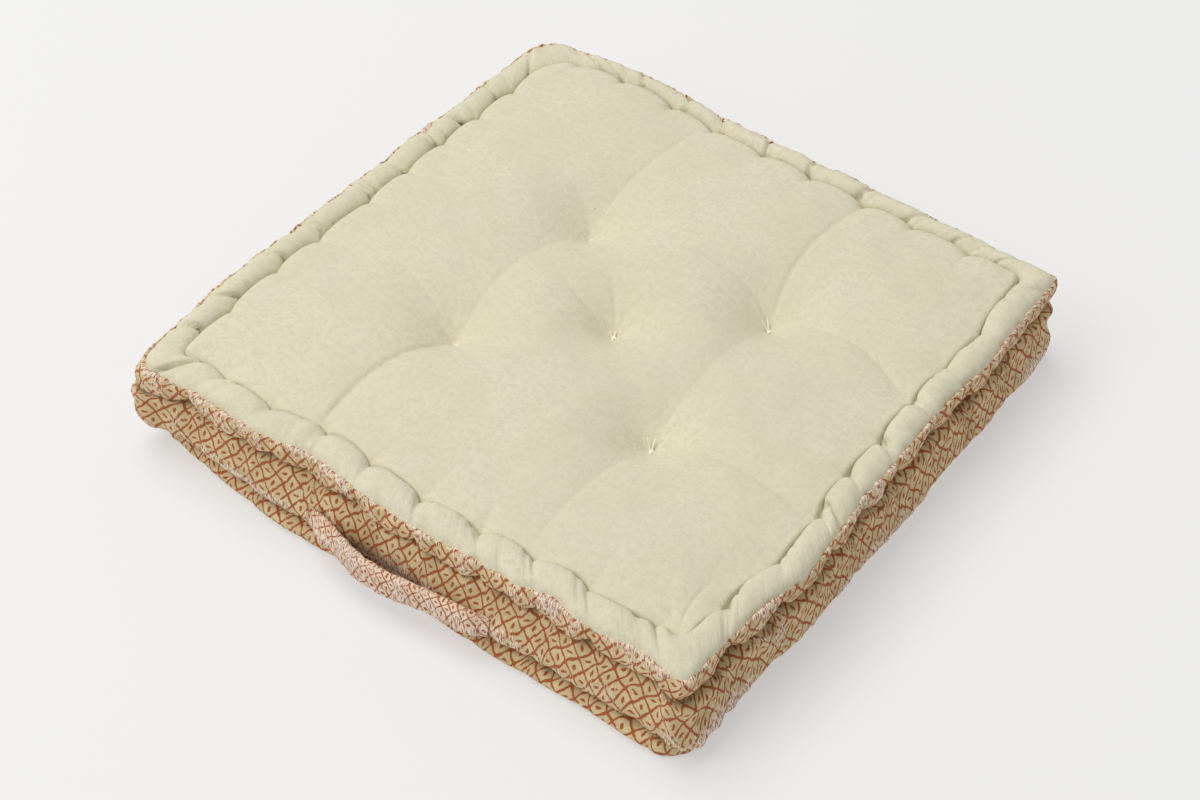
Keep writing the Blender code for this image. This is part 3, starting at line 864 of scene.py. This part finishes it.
def painted_strip_shade(rings, levels, knots):
    """Where shade is painted under the strip: 1 in the recess below it, further down where the strip
    stands out further, 0 elsewhere.
    """
    out = np.abs(rings[..., :2]).max(axis=-1)
    foot, upper = (
        out[np.searchsorted(levels, knots[name])] for name in ("strip foot", "boxing upper")
    )
    reach = 2.8 * MM + 1.7 * np.clip(foot - upper, 0, 8 * MM)
    past = levels[:, None] - knots["boxing groove"]
    return smooth_step((past + 3 * MM) / (3 * MM)) * smooth_step((reach - past) / (2.5 * MM) + 0.5)


def painted_strap_shadow(rings):
    """Where a shadow is painted behind the strap: 1 on the boxing low behind the strap's opening, 0
    elsewhere.
    """
    x, y, z = rings[..., 0], rings[..., 1], rings[..., 2]
    behind = smooth_step((x + 66 * MM) / (14 * MM)) * smooth_step((62 * MM - x) / (70 * MM))
    level = np.exp(-(((z - 28 * MM) / (8 * MM)) ** 2))
    return behind * level * (y < -HALF / 2)


def gathers(distance, whole):
    """How much extra cloth is drawn up at each stitch, as a shift of the print round the case."""
    extra = np.zeros(len(distance))
    total = 0.0
    for side in SIDES:
        for stitch in side.stitches:
            share = stitch * MM / groove_half()
            place = stitch * MM / groove_half() * HALF + side.boxing_shift * MM * (1 - share**2)
            centre = place_round(side, place)
            extra += 2 * MM * (1 + np.tanh((distance - centre) / (6 * MM)))
            total += 4 * MM
    return extra, total


def make_boxing(printed):
    levels = boxing_levels()
    rings = case_rings(BOXING_ROWS, levels)
    count = rings.shape[1]
    distance, whole = ring_distance()
    knots = dict(zip((row.name for row in BOXING_ROWS), row_distances(BOXING_ROWS)))
    normals = ring_normals(rings)
    pleats = boxing_pleats(distance, whole, levels, knots["boxing groove"], knots["base groove"])
    upright = rings * np.array([1.0, 1.0, 0.35])
    folds = 0.7 * MM * rumple(rings, 26 * MM, 12) + 0.5 * MM * rumple(upright, 7 * MM, 13)
    near_seam = np.exp(-(((levels - knots["seam ridge"]) / (3.5 * MM)) ** 2))[:, None]
    crinkle = rumple(rings * np.array([1, 1, 0.3]), 3.4 * MM, 14)
    puckers = (0.1 + 0.35 * near_seam) * MM * crinkle
    grounded = smooth_step((knots["base turn"] - levels) / (8 * MM))[:, None]
    pleats = pleats * smooth_step((levels - knots["seam side"]) / (6 * MM))[:, None]
    lift = notch_lift(distance, whole, levels, knots["strip foot"])
    rings = rings + normals * ((folds + puckers - pleats - 0.35 * lift) * grounded)[..., None]
    rings[..., 2] = np.maximum(rings[..., 2] + lift, 0.2 * MM)
    # Painted highlights: crest sets where pale strokes are painted on the print, with ink-dark painted
    # shade between them, on the seam's ridge, the low bulge, the strip and folds that stand out
    low_bulge = np.exp(-(((levels - knots["boxing foot"]) / (9 * MM)) ** 2))[:, None]
    strip = np.exp(-(((levels - knots["strip"]) / (7 * MM)) ** 2))[:, None]
    patches = np.clip(0.8 + 0.7 * rumple(rings, 70 * MM, 15), 0, 2)
    crest = 0.42 * near_seam + 0.45 * low_bulge * patches + 0.2 * strip + 0.12
    crest = crest + 0.3 * (folds - pleats) / MM
    # Painted shade: deep sets where the print is painted dark, along the base groove, in the recess
    # under the strip, behind the strap and in the pleats
    painted_base_groove_shade = np.exp(-(((levels - knots["base groove"]) / (3.5 * MM)) ** 2))[:, None]
    deep = painted_strip_shade(rings, levels, knots) + painted_base_groove_shade + painted_strap_shadow(rings)
    deep = deep + 0.25 * np.clip(pleats / MM, 0, 2)
    extra, total = gathers(distance, whole)
    across = np.append(distance + extra, whole + total)
    across = np.tile(across, (rings.shape[0], 1))
    steps = np.linalg.norm(np.diff(rings, axis=0), axis=-1)
    down = np.concatenate([np.zeros((1, count)), np.cumsum(steps, axis=0)])
    down = np.concatenate([down, down[:, :1]], axis=1)
    uv = ring_uv(across, -down, rings.shape[0], count)
    boxing = add_mesh(
        "printed_boxing", rings.reshape(-1, 3), ring_faces(rings.shape[0], count), printed, uv
    )
    add_values(boxing, "crest", crest)
    add_values(boxing, "deep", deep)
    return boxing


def add_values(obj, name, values):
    """A value from 0 to 1 for each point: crest where highlights are painted pale on raised cloth,
    deep where shade is painted dark in recesses and folds, rolled on the rolled edge of the top panel."""
    layer = obj.data.attributes.new(name, "FLOAT", "POINT")
    layer.data.foreach_set("value", np.clip(values, 0, 1).astype(np.float32).ravel())


def make_bottom(cream):
    """The bottom panel, flat on the ground with five shallow dimples."""
    ring = case_rings(BOXING_ROWS, boxing_levels())[-2]
    ring = ring[::4]
    centre = ring.mean(axis=0)
    shares = np.linspace(1, 0.02, 60)[:, None, None]
    rings = centre + (ring[None] - centre) * shares
    x, y = rings[..., 0], rings[..., 1]
    height = np.full(x.shape, 0.4 * MM)
    for tuft in TUFTS:
        radius = np.hypot(x - tuft.x * MM, y - tuft.y * MM)
        height += 7 * MM * np.exp(-((radius / (16 * MM)) ** 1.3))
    rings[..., 2] = height
    count = ring.shape[0]
    faces = ring_faces(len(shares), count)
    last = (len(shares) - 1) * count
    points = np.vstack([rings.reshape(-1, 3), [centre[0], centre[1], float(height[-1].mean())]])
    hub = len(points) - 1
    closing = [[last + k, hub, last + (k + 1) % count] for k in range(count)]
    faces = faces.tolist() + closing
    mesh = bpy.data.meshes.new("bottom_panel")
    mesh.from_pydata(points.tolist(), [], faces)
    mesh.materials.append(cream)
    mesh.shade_smooth()
    obj = bpy.data.objects.new("bottom_panel", mesh)
    bpy.context.scene.collection.objects.link(obj)
    return obj


# Strap and threads


def boxing_out(x, z):
    """Outward distance of the front boxing at a place along it and a height, without its dents."""
    heights = []
    outs = []
    for row in reversed(BOXING_ROWS[3:-2]):
        base = row.base * swelling(BASE_SWELLS, FRONT, np.array([x]))[0]
        seam = (1 - row.base) * swelling(SEAM_SWELLS, FRONT, np.array([x]))[0]
        heights.append(row.height * MM)
        outs.append(row_half(row, FRONT) + base + seam)
    return float(np.interp(z, heights, outs))


def tube_mesh(name, sections, material, uv=None):
    """A closed skin through rings of equal length, with a point closing each end."""
    sections = np.asarray(sections)
    levels, count = sections.shape[:2]
    points = sections.reshape(-1, 3)
    ends = [sections[0].mean(axis=0), sections[-1].mean(axis=0)]
    points = np.vstack([points, ends])
    faces = ring_faces(levels, count).tolist()
    first, last = levels * count, levels * count + 1
    base = (levels - 1) * count
    faces += [[(k + 1) % count, first, k] for k in range(count)]
    faces += [[base + k, last, base + (k + 1) % count] for k in range(count)]
    mesh = bpy.data.meshes.new(name)
    mesh.from_pydata(points.tolist(), [], faces)
    mesh.materials.append(material)
    mesh.shade_smooth()
    if uv is not None:
        across, down = uv
        corner = ring_uv(across, down, levels, count).reshape(-1, 2)
        caps = np.tile(corner[:1], (6 * count, 1))
        layer = mesh.uv_layers.new(name="cloth")
        layer.data.foreach_set("uv", np.vstack([corner, caps]).astype(np.float32).ravel())
    obj = bpy.data.objects.new(name, mesh)
    bpy.context.scene.collection.objects.link(obj)
    return obj


def strap_centre(share):
    """Place along, how free of the boxing the strap is there, from 0 at its sewn ends to 1, and height
    of the strap's middle.
    """
    x = STRAP_START + (STRAP_END - STRAP_START) * share
    rise = (x - STRAP_START - STRAP_HEM) / STRAP_RISE
    fall = (STRAP_END - STRAP_HEM - x) / STRAP_FALL
    free = float(smooth_step(min(rise, fall)))
    middle = STRAP_MIDDLE_HEIGHT - STRAP_SAG * free
    return x, free, middle


def make_strap(printed):
    shares = np.linspace(0, 1, STRAP_STATIONS)
    turns = np.linspace(0, 2 * math.pi, STRAP_SIDES, endpoint=False)
    across = np.sign(np.cos(turns)) * np.abs(np.cos(turns)) ** 0.75
    thick = np.sign(np.sin(turns)) * np.abs(np.sin(turns)) ** 0.6
    sections = []
    for share in shares:
        x, free, middle = strap_centre(share)
        end = min(share, 1 - share) * (STRAP_END - STRAP_START)
        puff = STRAP_THICKNESS * (0.22 + 0.78 * float(smooth_step(end / (16 * MM))))
        ring = []
        for a, t in zip(across, thick):
            z = middle + a * STRAP_WIDTH / 2
            sewn = boxing_out(x, z) + 0.3 * MM
            back = sewn + (STRAP_REACH - sewn) * free
            ring.append((x, -(back + puff / 2 + t * puff / 2), z))
        sections.append(ring)
    sections = np.array(sections)
    lumps = 0.7 * MM * rumple(sections, 9 * MM, 21)
    uneven = lumps + 0.45 * MM * rumple(sections, 3.2 * MM, 22)
    centre = sections.mean(axis=1, keepdims=True)
    outward = sections - centre
    outward /= np.maximum(np.linalg.norm(outward, axis=-1, keepdims=True), 1e-9)
    outward[..., 0] = 0
    sections = sections + outward * uneven[..., None]
    girth = np.linspace(0, 2 * (STRAP_WIDTH + STRAP_THICKNESS), STRAP_SIDES + 1)
    down = np.tile(girth, (STRAP_STATIONS, 1))
    along = np.tile((STRAP_END - STRAP_START) * 1.15 * shares[:, None], (1, STRAP_SIDES + 1))
    strap = tube_mesh("padded_strap", sections, printed, (along, down))
    # Painted highlights: crest paints the strap's print pale on its raised lumps. Its deep is 0, so no
    # shade is painted on it
    ends = np.zeros((2, 1))
    add_values(strap, "crest", np.vstack([(0.5 + 0.4 * lumps / MM).reshape(-1, 1), ends]))
    add_values(strap, "deep", np.zeros(sections.shape[0] * sections.shape[1] + 2))
    return strap


def tube(path, radii, sides=8):
    """Rings round a path, facing along it."""
    path = np.asarray(path, float)
    ahead = np.gradient(path, axis=0)
    ahead /= np.linalg.norm(ahead, axis=1, keepdims=True)
    rings = []
    beside = np.cross(ahead[0], (0.3, 0.2, 0.93))
    for point, way, radius in zip(path, ahead, radii):
        beside = beside - way * (beside @ way)
        beside /= np.linalg.norm(beside)
        other = np.cross(way, beside)
        turns = np.linspace(0, 2 * math.pi, sides, endpoint=False)
        rings.append([point + radius * (math.cos(a) * other + math.sin(a) * beside) for a in turns])
    return np.array(rings)


def arc_path(points, steps=14):
    """A smooth path through a few points."""
    points = np.asarray(points, float)
    knots = np.arange(len(points))
    return spline_levels(points, knots, np.linspace(0, knots[-1], steps * len(knots)))


def tuft_seat(tuft):
    at = np.array([tuft.x * MM]), np.array([tuft.y * MM])
    return float(panel_height(*at, np.array([PANEL_LEVEL]))[0])


def make_tie(tuft, thread):
    """A knot pulled into the dimple, with two loose ends where the tuft's ends have a length."""
    x, y = tuft.x * MM, tuft.y * MM
    sunk = 0 if tuft.end_length else 1.8 * MM
    knot = np.array([x, y, tuft_seat(tuft) + 0.6 * KNOT_RADIUS - sunk])
    length = tuft.end_length * MM
    pieces = []
    for number, heading in enumerate(tuft.end_headings if tuft.end_length else ()):
        angle = math.radians(heading)
        way = np.array([math.cos(angle), math.sin(angle), 0])
        up = np.array([0, 0, 1.0])
        path = arc_path(
            [
                knot - way * 1.2 * MM,
                knot + way * 1.2 * MM + up * 0.6 * MM,
                knot + way * (0.25 * length + 1.8 * MM) + up * 0.45 * length,
                knot + way * (0.55 * length + 2.0 * MM) + up * (0.85 * length + number * MM),
            ]
        )
        radii = np.interp(np.linspace(0, 1, len(path)), [0, 0.8, 1], [1, 1, 0.75]) * THREAD_RADIUS
        pieces.append(tube(path, radii))
    turn = np.linspace(0, 2 * math.pi, 60)
    across = np.sin(turn) + 2 * np.sin(2 * turn)
    deep = np.cos(turn) - 2 * np.cos(2 * turn)
    loops = knot + KNOT_RADIUS / 3 * np.stack([across, deep, -1.5 * np.sin(3 * turn)], axis=-1)
    pieces.append(tube(loops, np.full(len(loops), THREAD_RADIUS)))
    return join_tubes("tuft_thread_" + tuft.name[-1], pieces, thread)


def join_tubes(name, pieces, material):
    points = []
    faces = []
    for sections in pieces:
        start = len(points)
        levels, count = sections.shape[:2]
        points += sections.reshape(-1, 3).tolist()
        faces += ring_faces(levels, count, start).tolist()
        faces.append([start + k for k in range(count)])
        base = start + (levels - 1) * count
        faces.append([base + k for k in reversed(range(count))])
    mesh = bpy.data.meshes.new(name)
    mesh.from_pydata(points, [], faces)
    mesh.materials.append(material)
    mesh.shade_smooth()
    obj = bpy.data.objects.new(name, mesh)
    bpy.context.scene.collection.objects.link(obj)
    return obj


# Materials


class Cloth:
    """A node material with short calls for the nodes that the cloths share."""

    def __init__(self, name):
        self.material = bpy.data.materials.new(name)
        self.material.use_nodes = True
        self.tree = self.material.node_tree
        self.shader = self.tree.nodes["Principled BSDF"]

    def wire(self, value, socket):
        if isinstance(value, bpy.types.NodeSocket):
            self.tree.links.new(value, socket)
        else:
            socket.default_value = value

    def math(self, operation, *values):
        node = self.tree.nodes.new("ShaderNodeMath")
        node.operation = operation
        for value, socket in zip(values, node.inputs):
            self.wire(value, socket)
        return node.outputs[0]

    def weigh(self, first, first_weight, second, second_weight):
        """The sum of two values, each times its weight."""
        return self.math(
            "MULTIPLY_ADD", first, first_weight, self.math("MULTIPLY", second, second_weight)
        )

    def step(self, value, low, high, start=0.0, end=1.0):
        """A smooth change from start to end as value goes from low to high."""
        node = self.tree.nodes.new("ShaderNodeMapRange")
        node.interpolation_type = "SMOOTHSTEP"
        for name, number in zip(
            ("Value", "From Min", "From Max", "To Min", "To Max"), (value, low, high, start, end)
        ):
            self.wire(number, node.inputs[name])
        return node.outputs["Result"]

    def mix(self, factor, first, second):
        node = self.tree.nodes.new("ShaderNodeMix")
        node.data_type = "RGBA"
        self.wire(factor, node.inputs["Factor"])
        colours = [socket for socket in node.inputs if socket.type == "RGBA"]
        self.wire(first, colours[0])
        self.wire(second, colours[1])
        return next(socket for socket in node.outputs if socket.type == "RGBA")

    def place(self, vector, scale, turn=0.0, shift=(0, 0, 0)):
        node = self.tree.nodes.new("ShaderNodeMapping")
        self.wire(vector, node.inputs["Vector"])
        node.inputs["Scale"].default_value = scale
        node.inputs["Rotation"].default_value = (0, 0, turn)
        node.inputs["Location"].default_value = shift
        return node.outputs["Vector"]

    def noise(self, vector, scale, detail=2.0, roughness=0.5, colour=False):
        node = self.tree.nodes.new("ShaderNodeTexNoise")
        self.wire(vector, node.inputs["Vector"])
        node.inputs["Scale"].default_value = scale
        node.inputs["Detail"].default_value = detail
        node.inputs["Roughness"].default_value = roughness
        return node.outputs["Color" if colour else "Fac"]

    def object_place(self):
        return self.tree.nodes.new("ShaderNodeTexCoord").outputs["Object"]

    def cloth_place(self):
        node = self.tree.nodes.new("ShaderNodeUVMap")
        node.uv_map = "cloth"
        return node.outputs["UV"]

    def attribute(self, name):
        node = self.tree.nodes.new("ShaderNodeAttribute")
        node.attribute_name = name
        return node.outputs["Fac"]

    def split(self, vector):
        node = self.tree.nodes.new("ShaderNodeSeparateXYZ")
        self.wire(vector, node.inputs[0])
        return node.outputs[:3]

    def bump(self, height, distance, strength=1.0, below=None):
        node = self.tree.nodes.new("ShaderNodeBump")
        node.inputs["Strength"].default_value = strength
        node.inputs["Distance"].default_value = distance
        self.wire(height, node.inputs["Height"])
        if below is not None:
            self.wire(below, node.inputs["Normal"])
        return node.outputs["Normal"]

    def finish(self, colour, roughness, normal, sheen, sheen_tint):
        inputs = self.shader.inputs
        self.wire(colour, inputs["Base Color"])
        self.wire(roughness, inputs["Roughness"])
        self.wire(normal, inputs["Normal"])
        inputs["Specular IOR Level"].default_value = 0.25
        inputs["Sheen Weight"].default_value = sheen
        inputs["Sheen Roughness"].default_value = 0.6
        inputs["Sheen Tint"].default_value = sheen_tint
        return self.material


def threads(cloth, place, pitch):
    """Height of a plain weave: two sets of yarns that pass over each other."""
    x, y, _ = cloth.split(cloth.place(place, (math.pi / pitch, math.pi / pitch, 1)))
    warp = cloth.math("ABSOLUTE", cloth.math("SINE", x))
    weft = cloth.math("ABSOLUTE", cloth.math("SINE", y))
    return cloth.math("MULTIPLY", cloth.math("ADD", warp, weft), 0.5)


def cream_material():
    """Unbleached cotton: slubs, a faint mottle, a few dark seed flecks and a plain weave."""
    cloth = Cloth("cream_cotton_cloth")
    at = cloth.object_place()
    mottle = cloth.noise(at, 16, 3)
    blush = cloth.noise(cloth.place(at, (1, 1, 1), 0, (3.1, 1.7, 0.4)), 13, 2)
    warp = cloth.noise(cloth.place(at, (1300, 160, 300)), 1, 2, 0.6)
    weft = cloth.noise(cloth.place(at, (160, 1300, 300), 0, (7, 3, 1)), 1, 2, 0.6)
    grain = cloth.noise(at, 1300, 1)
    felt = cloth.noise(at, 230, 3, 0.7)
    slub = cloth.math("ADD", cloth.math("MULTIPLY", warp, 0.5), cloth.math("MULTIPLY", weft, 0.5))
    colour = cloth.mix(
        cloth.step(mottle, 0.35, 0.65), (0.700, 0.655, 0.480, 1), (0.750, 0.700, 0.525, 1)
    )
    colour = cloth.mix(cloth.step(blush, 0.5, 0.75, 0, 0.35), colour, (0.760, 0.660, 0.530, 1))
    colour = cloth.mix(cloth.step(blush, 0.5, 0.25, 0, 0.35), colour, (0.700, 0.690, 0.490, 1))
    colour = cloth.mix(cloth.step(slub, 0.38, 0.62, 0, 0.3), colour, (0.620, 0.580, 0.430, 1))
    colour = cloth.mix(cloth.step(felt, 0.4, 0.65, 0, 0.8), colour, (0.640, 0.595, 0.435, 1))
    colour = cloth.mix(cloth.step(grain, 0.45, 0.75, 0, 0.35), colour, (0.820, 0.790, 0.640, 1))
    seeds = cloth.tree.nodes.new("ShaderNodeTexVoronoi")
    cloth.wire(at, seeds.inputs["Vector"])
    seeds.inputs["Scale"].default_value = 46
    red, _, _ = cloth.split(seeds.outputs["Color"])
    picked = cloth.step(red, 0.86, 0.9)
    fleck = cloth.math("MULTIPLY", picked, cloth.step(seeds.outputs["Distance"], 0.055, 0.02))
    colour = cloth.mix(cloth.math("MULTIPLY", fleck, 0.75), colour, (0.16, 0.12, 0.07, 1))
    weave = threads(cloth, at, 0.75 * MM)
    height = cloth.math("ADD", cloth.math("MULTIPLY", weave, 0.35), slub)
    normal = cloth.bump(height, 0.35 * MM, 0.8)
    soft = cloth.noise(at, 60, 2)
    normal = cloth.bump(soft, 1.2 * MM, 0.35, normal)
    ribs = cloth.noise(cloth.place(cloth.cloth_place(), (330, 35, 1)), 1, 2, 0.6)
    ribs = cloth.math("MULTIPLY", ribs, cloth.attribute("rolled"))
    normal = cloth.bump(ribs, 1.3 * MM, 0.5, normal)
    roughness = cloth.step(slub, 0.3, 0.7, 0.82, 0.96)
    return cloth.finish(colour, roughness, normal, 0.12, (1, 0.98, 0.9, 1))


def lozenge_print(cloth, place, scale):
    """1 on the printed lines and leaves, 0 on the ground. place is in metres along and up the cloth."""
    wander = cloth.noise(place, 70 / scale, 1, 0.5, colour=True)
    shift_x, shift_y, _ = cloth.split(wander)
    x, y, _ = cloth.split(place)
    x = cloth.math("MULTIPLY_ADD", shift_x, 2 * LINE_WANDER * scale * MM, x)
    y = cloth.math("MULTIPLY_ADD", shift_y, 2 * LINE_WANDER * scale * MM, y)
    (fall_x, fall_y), (rise_x, rise_y) = (
        (edge[0] * scale * MM, edge[1] * scale * MM) for edge in (FALLING_EDGE, RISING_EDGE)
    )
    area = fall_x * rise_y - fall_y * rise_x
    first = cloth.weigh(x, rise_y / area, y, -rise_x / area)
    second = cloth.weigh(x, -fall_y / area, y, fall_x / area)
    cells = [cloth.math("FLOOR", value) for value in (first, second)]
    inside = [
        cloth.math("SUBTRACT", cloth.math("FRACT", value), 0.5) for value in (first, second)
    ]
    widths = (area / math.hypot(rise_x, rise_y), area / math.hypot(fall_x, fall_y))
    edges = [
        cloth.math("MULTIPLY", cloth.math("SUBTRACT", 0.5, cloth.math("ABSOLUTE", value)), width)
        for value, width in zip(inside, widths)
    ]
    nearest = cloth.math("SMOOTH_MIN", edges[0], edges[1], 0.7 * scale * MM)
    press = cloth.noise(place, 240 / scale, 2)
    reach = cloth.step(
        press, 0.3, 0.7, 0.7 * LINE_HALF_WIDTH * scale * MM, 1.3 * LINE_HALF_WIDTH * scale * MM
    )
    line = cloth.step(cloth.math("SUBTRACT", nearest, reach), 0.3 * MM, -0.3 * MM)
    odd = cloth.math(
        "ABSOLUTE", cloth.math("MODULO", cloth.math("SUBTRACT", cells[0], cells[1]), 2.0)
    )
    across = cloth.weigh(inside[0], fall_x, inside[1], rise_x)
    up = cloth.weigh(inside[0], fall_y, inside[1], rise_y)
    low, high = LEAF_LEANS
    cosine = cloth.math("MULTIPLY_ADD", odd, math.cos(high) - math.cos(low), math.cos(low))
    sine = cloth.math("MULTIPLY_ADD", odd, math.sin(high) - math.sin(low), math.sin(low))
    long = cloth.weigh(across, cosine, up, sine)
    short = cloth.math(
        "SUBTRACT", cloth.math("MULTIPLY", up, cosine), cloth.math("MULTIPLY", across, sine)
    )
    far = cloth.math("POWER", cloth.math("DIVIDE", long, LEAF_HALF[0] * scale * MM), 2)
    wide = cloth.math("DIVIDE", cloth.math("ABSOLUTE", short), LEAF_HALF[1] * scale * MM)
    leaf = cloth.step(cloth.math("ADD", far, wide), 1.15, 0.75)
    return cloth.math("MAXIMUM", line, leaf), press


def print_material(name, scale, ground, shade, ink, pale, sheen):
    """Block-printed cotton: brick lozenges with a leaf in each, on a ground of uneven beige, with
    painted highlights on raised cloth and painted shade in recesses and pleats.
    """
    cloth = Cloth(name)
    place = cloth.cloth_place()
    at = cloth.object_place()
    mark, press = lozenge_print(cloth, place, scale)
    mottle = cloth.noise(at, 70, 3)
    yarn = cloth.noise(cloth.place(place, (2600, 700, 1)), 1, 2, 0.6)
    cross = cloth.noise(cloth.place(place, (600, 2300, 1), 0, (5, 2, 0)), 1, 2, 0.6)
    base = cloth.mix(cloth.step(mottle, 0.35, 0.65), ground, shade)
    base = cloth.mix(cloth.step(yarn, 0.5, 0.7, 0, 0.55), base, pale)
    inked = cloth.mix(cloth.step(press, 0.3, 0.7), ink, tuple(c * 1.3 for c in ink[:3]) + (1,))
    colour = cloth.mix(cloth.step(cross, 0.35, 0.7, 0.98, 0.85), base, inked)
    colour = cloth.mix(mark, base, colour)
    # Painted highlights and shade: where crest is high, pale strokes are painted on the print, and
    # ink-dark strokes between them
    crest = cloth.attribute("crest")
    streak = cloth.noise(cloth.place(place, (950, 190, 1), 0, (0, 3, 0)), 1, 2, 0.6)
    painted_highlight = cloth.math("MULTIPLY_ADD", crest, 0.34, streak)
    painted_pleat_shade = cloth.math("MULTIPLY_ADD", crest, -0.24, streak)
    colour = cloth.mix(cloth.step(painted_highlight, 0.68, 0.80, 0, 0.85), colour, pale)
    painted_shade_weight = cloth.math("MULTIPLY", cloth.step(crest, 0.35, 0.75), 0.75)
    colour = cloth.mix(cloth.math("MULTIPLY", cloth.step(painted_pleat_shade, 0.30, 0.20), painted_shade_weight), colour, ink)
    # Painted shade: where deep is high, the print's colour goes towards a dark brown
    deep = cloth.math("MULTIPLY", cloth.attribute("deep"), 0.75)
    colour = cloth.mix(deep, colour, PAINTED_SHADE_COLOUR)
    weave = threads(cloth, place, 0.7 * MM)
    height = cloth.math("ADD", cloth.math("MULTIPLY", weave, 0.4), cloth.math("ADD", yarn, cross))
    normal = cloth.bump(height, 0.4 * MM, 0.7)
    crinkle = cloth.math("MULTIPLY", streak, cloth.step(crest, 0.1, 0.7, 0.35, 1.0))
    normal = cloth.bump(crinkle, 1.5 * MM, 0.8, normal)
    roughness = cloth.step(yarn, 0.3, 0.7, 0.85, 0.97)
    return cloth.finish(colour, roughness, normal, sheen, (1, 0.93, 0.88, 1))


def thread_material():
    cloth = Cloth("cream_thread")
    at = cloth.object_place()
    twist = cloth.noise(at, 2600, 2)
    colour = cloth.mix(twist, (0.90, 0.84, 0.68, 1), (0.98, 0.95, 0.84, 1))
    normal = cloth.bump(twist, 0.2 * MM, 0.7)
    return cloth.finish(colour, 0.8, normal, 0.2, (1, 1, 0.9, 1))


def floor_material():
    cloth = Cloth("studio_floor")
    cloth.shader.inputs["Base Color"].default_value = FLOOR_COLOUR
    cloth.shader.inputs["Emission Color"].default_value = (1, 1, 1, 1)
    cloth.shader.inputs["Emission Strength"].default_value = FLOOR_GLOW
    cloth.shader.inputs["Roughness"].default_value = 0.85
    cloth.material.cycles.emission_sampling = "NONE"
    cloth.shader.inputs["Specular IOR Level"].default_value = 0.2
    return cloth.material


# Camera, light and floor


def add_camera():
    azimuth, elevation = CAMERA_AZIMUTH, CAMERA_ELEVATION
    back = Vector(
        (
            math.sin(azimuth) * math.cos(elevation),
            -math.cos(azimuth) * math.cos(elevation),
            math.sin(elevation),
        )
    )
    level = Vector((0, 0, 1)).cross(back).normalized()
    upright = back.cross(level)
    cosine, sine = math.cos(CAMERA_ROLL), math.sin(CAMERA_ROLL)
    right = cosine * level + sine * upright
    up = cosine * upright - sine * level
    place = back * CAMERA_DISTANCE + right * CAMERA_OFFSET[0] + up * CAMERA_OFFSET[1]
    place += Vector((0, 0, SEAM_HEIGHT))
    data = bpy.data.cameras.new("photo_camera")
    data.lens = CAMERA_LENS
    data.sensor_width = CAMERA_SENSOR
    camera = bpy.data.objects.new("photo_camera", data)
    turn = Matrix((right, up, back)).transposed()
    camera.matrix_world = Matrix.Translation(place) @ turn.to_4x4()
    bpy.context.scene.collection.objects.link(camera)
    bpy.context.scene.camera = camera


def add_softbox(name, heading, elevation, distance, size, power):
    """A round softbox that faces the middle of the scene."""
    data = bpy.data.lights.new(name, "AREA")
    data.shape = "DISK"
    data.size = size
    data.energy = power
    data.color = (1.0, 0.985, 0.96)
    softbox = bpy.data.objects.new(name, data)
    way = Vector(
        (
            math.cos(heading) * math.cos(elevation),
            math.sin(heading) * math.cos(elevation),
            math.sin(elevation),
        )
    )
    softbox.location = way * distance
    softbox.rotation_euler = way.to_track_quat("Z", "Y").to_euler()
    bpy.context.scene.collection.objects.link(softbox)


def add_light():
    add_softbox("key", KEY_HEADING, KEY_ELEVATION, KEY_DISTANCE, KEY_SIZE, KEY_POWER)
    add_softbox("fill", FILL_HEADING, FILL_ELEVATION, FILL_DISTANCE, FILL_SIZE, FILL_POWER)
    world = bpy.data.worlds.new("studio_white")
    world.use_nodes = True
    background = world.node_tree.nodes["Background"]
    background.inputs["Color"].default_value = (1, 1, 1, 1)
    background.inputs["Strength"].default_value = WORLD_STRENGTH
    bpy.context.scene.world = world
    bpy.context.scene.view_settings.view_transform = "Standard"


def add_floor():
    half = FLOOR_SIDE / 2
    corners = [(-half, -half, 0), (half, -half, 0), (half, half, 0), (-half, half, 0)]
    floor = add_mesh("studio_floor", corners, [(0, 1, 2, 3)], floor_material())


# The scene


def main():
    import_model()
    add_camera()
    add_light()
    add_floor()
    cream = cream_material()
    printed = print_material(
        "block_print",
        1.0,
        (0.75, 0.58, 0.305, 1),
        (0.62, 0.475, 0.235, 1),
        (0.34, 0.066, 0.010, 1),
        (0.98, 0.86, 0.72, 1),
        0.05,
    )
    # The strap's print is a finer copy of the boxing's print. Its paler ground is painted light for the
    # strap's upturned, lit face
    strap_print = print_material(
        "strap_print",
        0.72,
        (0.90, 0.72, 0.52, 1),
        (0.80, 0.62, 0.42, 1),
        (0.34, 0.062, 0.014, 1),
        (0.99, 0.86, 0.76, 1),
        0.05,
    )
    thread = thread_material()
    case = [(make_top(cream), "cream_cotton"), (make_boxing(printed), "printed_cotton")]
    case.append((make_bottom(cream), "cream_cotton"))
    for piece, slot in case:
        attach(piece, "root")
        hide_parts("cushion")
    strap = make_strap(strap_print)
    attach(strap, "root")
    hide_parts("handle_strap")
    for tuft in TUFTS:
        tie = make_tie(tuft, thread)
        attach(tie, "root")
        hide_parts(tuft.name)
    bpy.context.view_layer.update()


main()
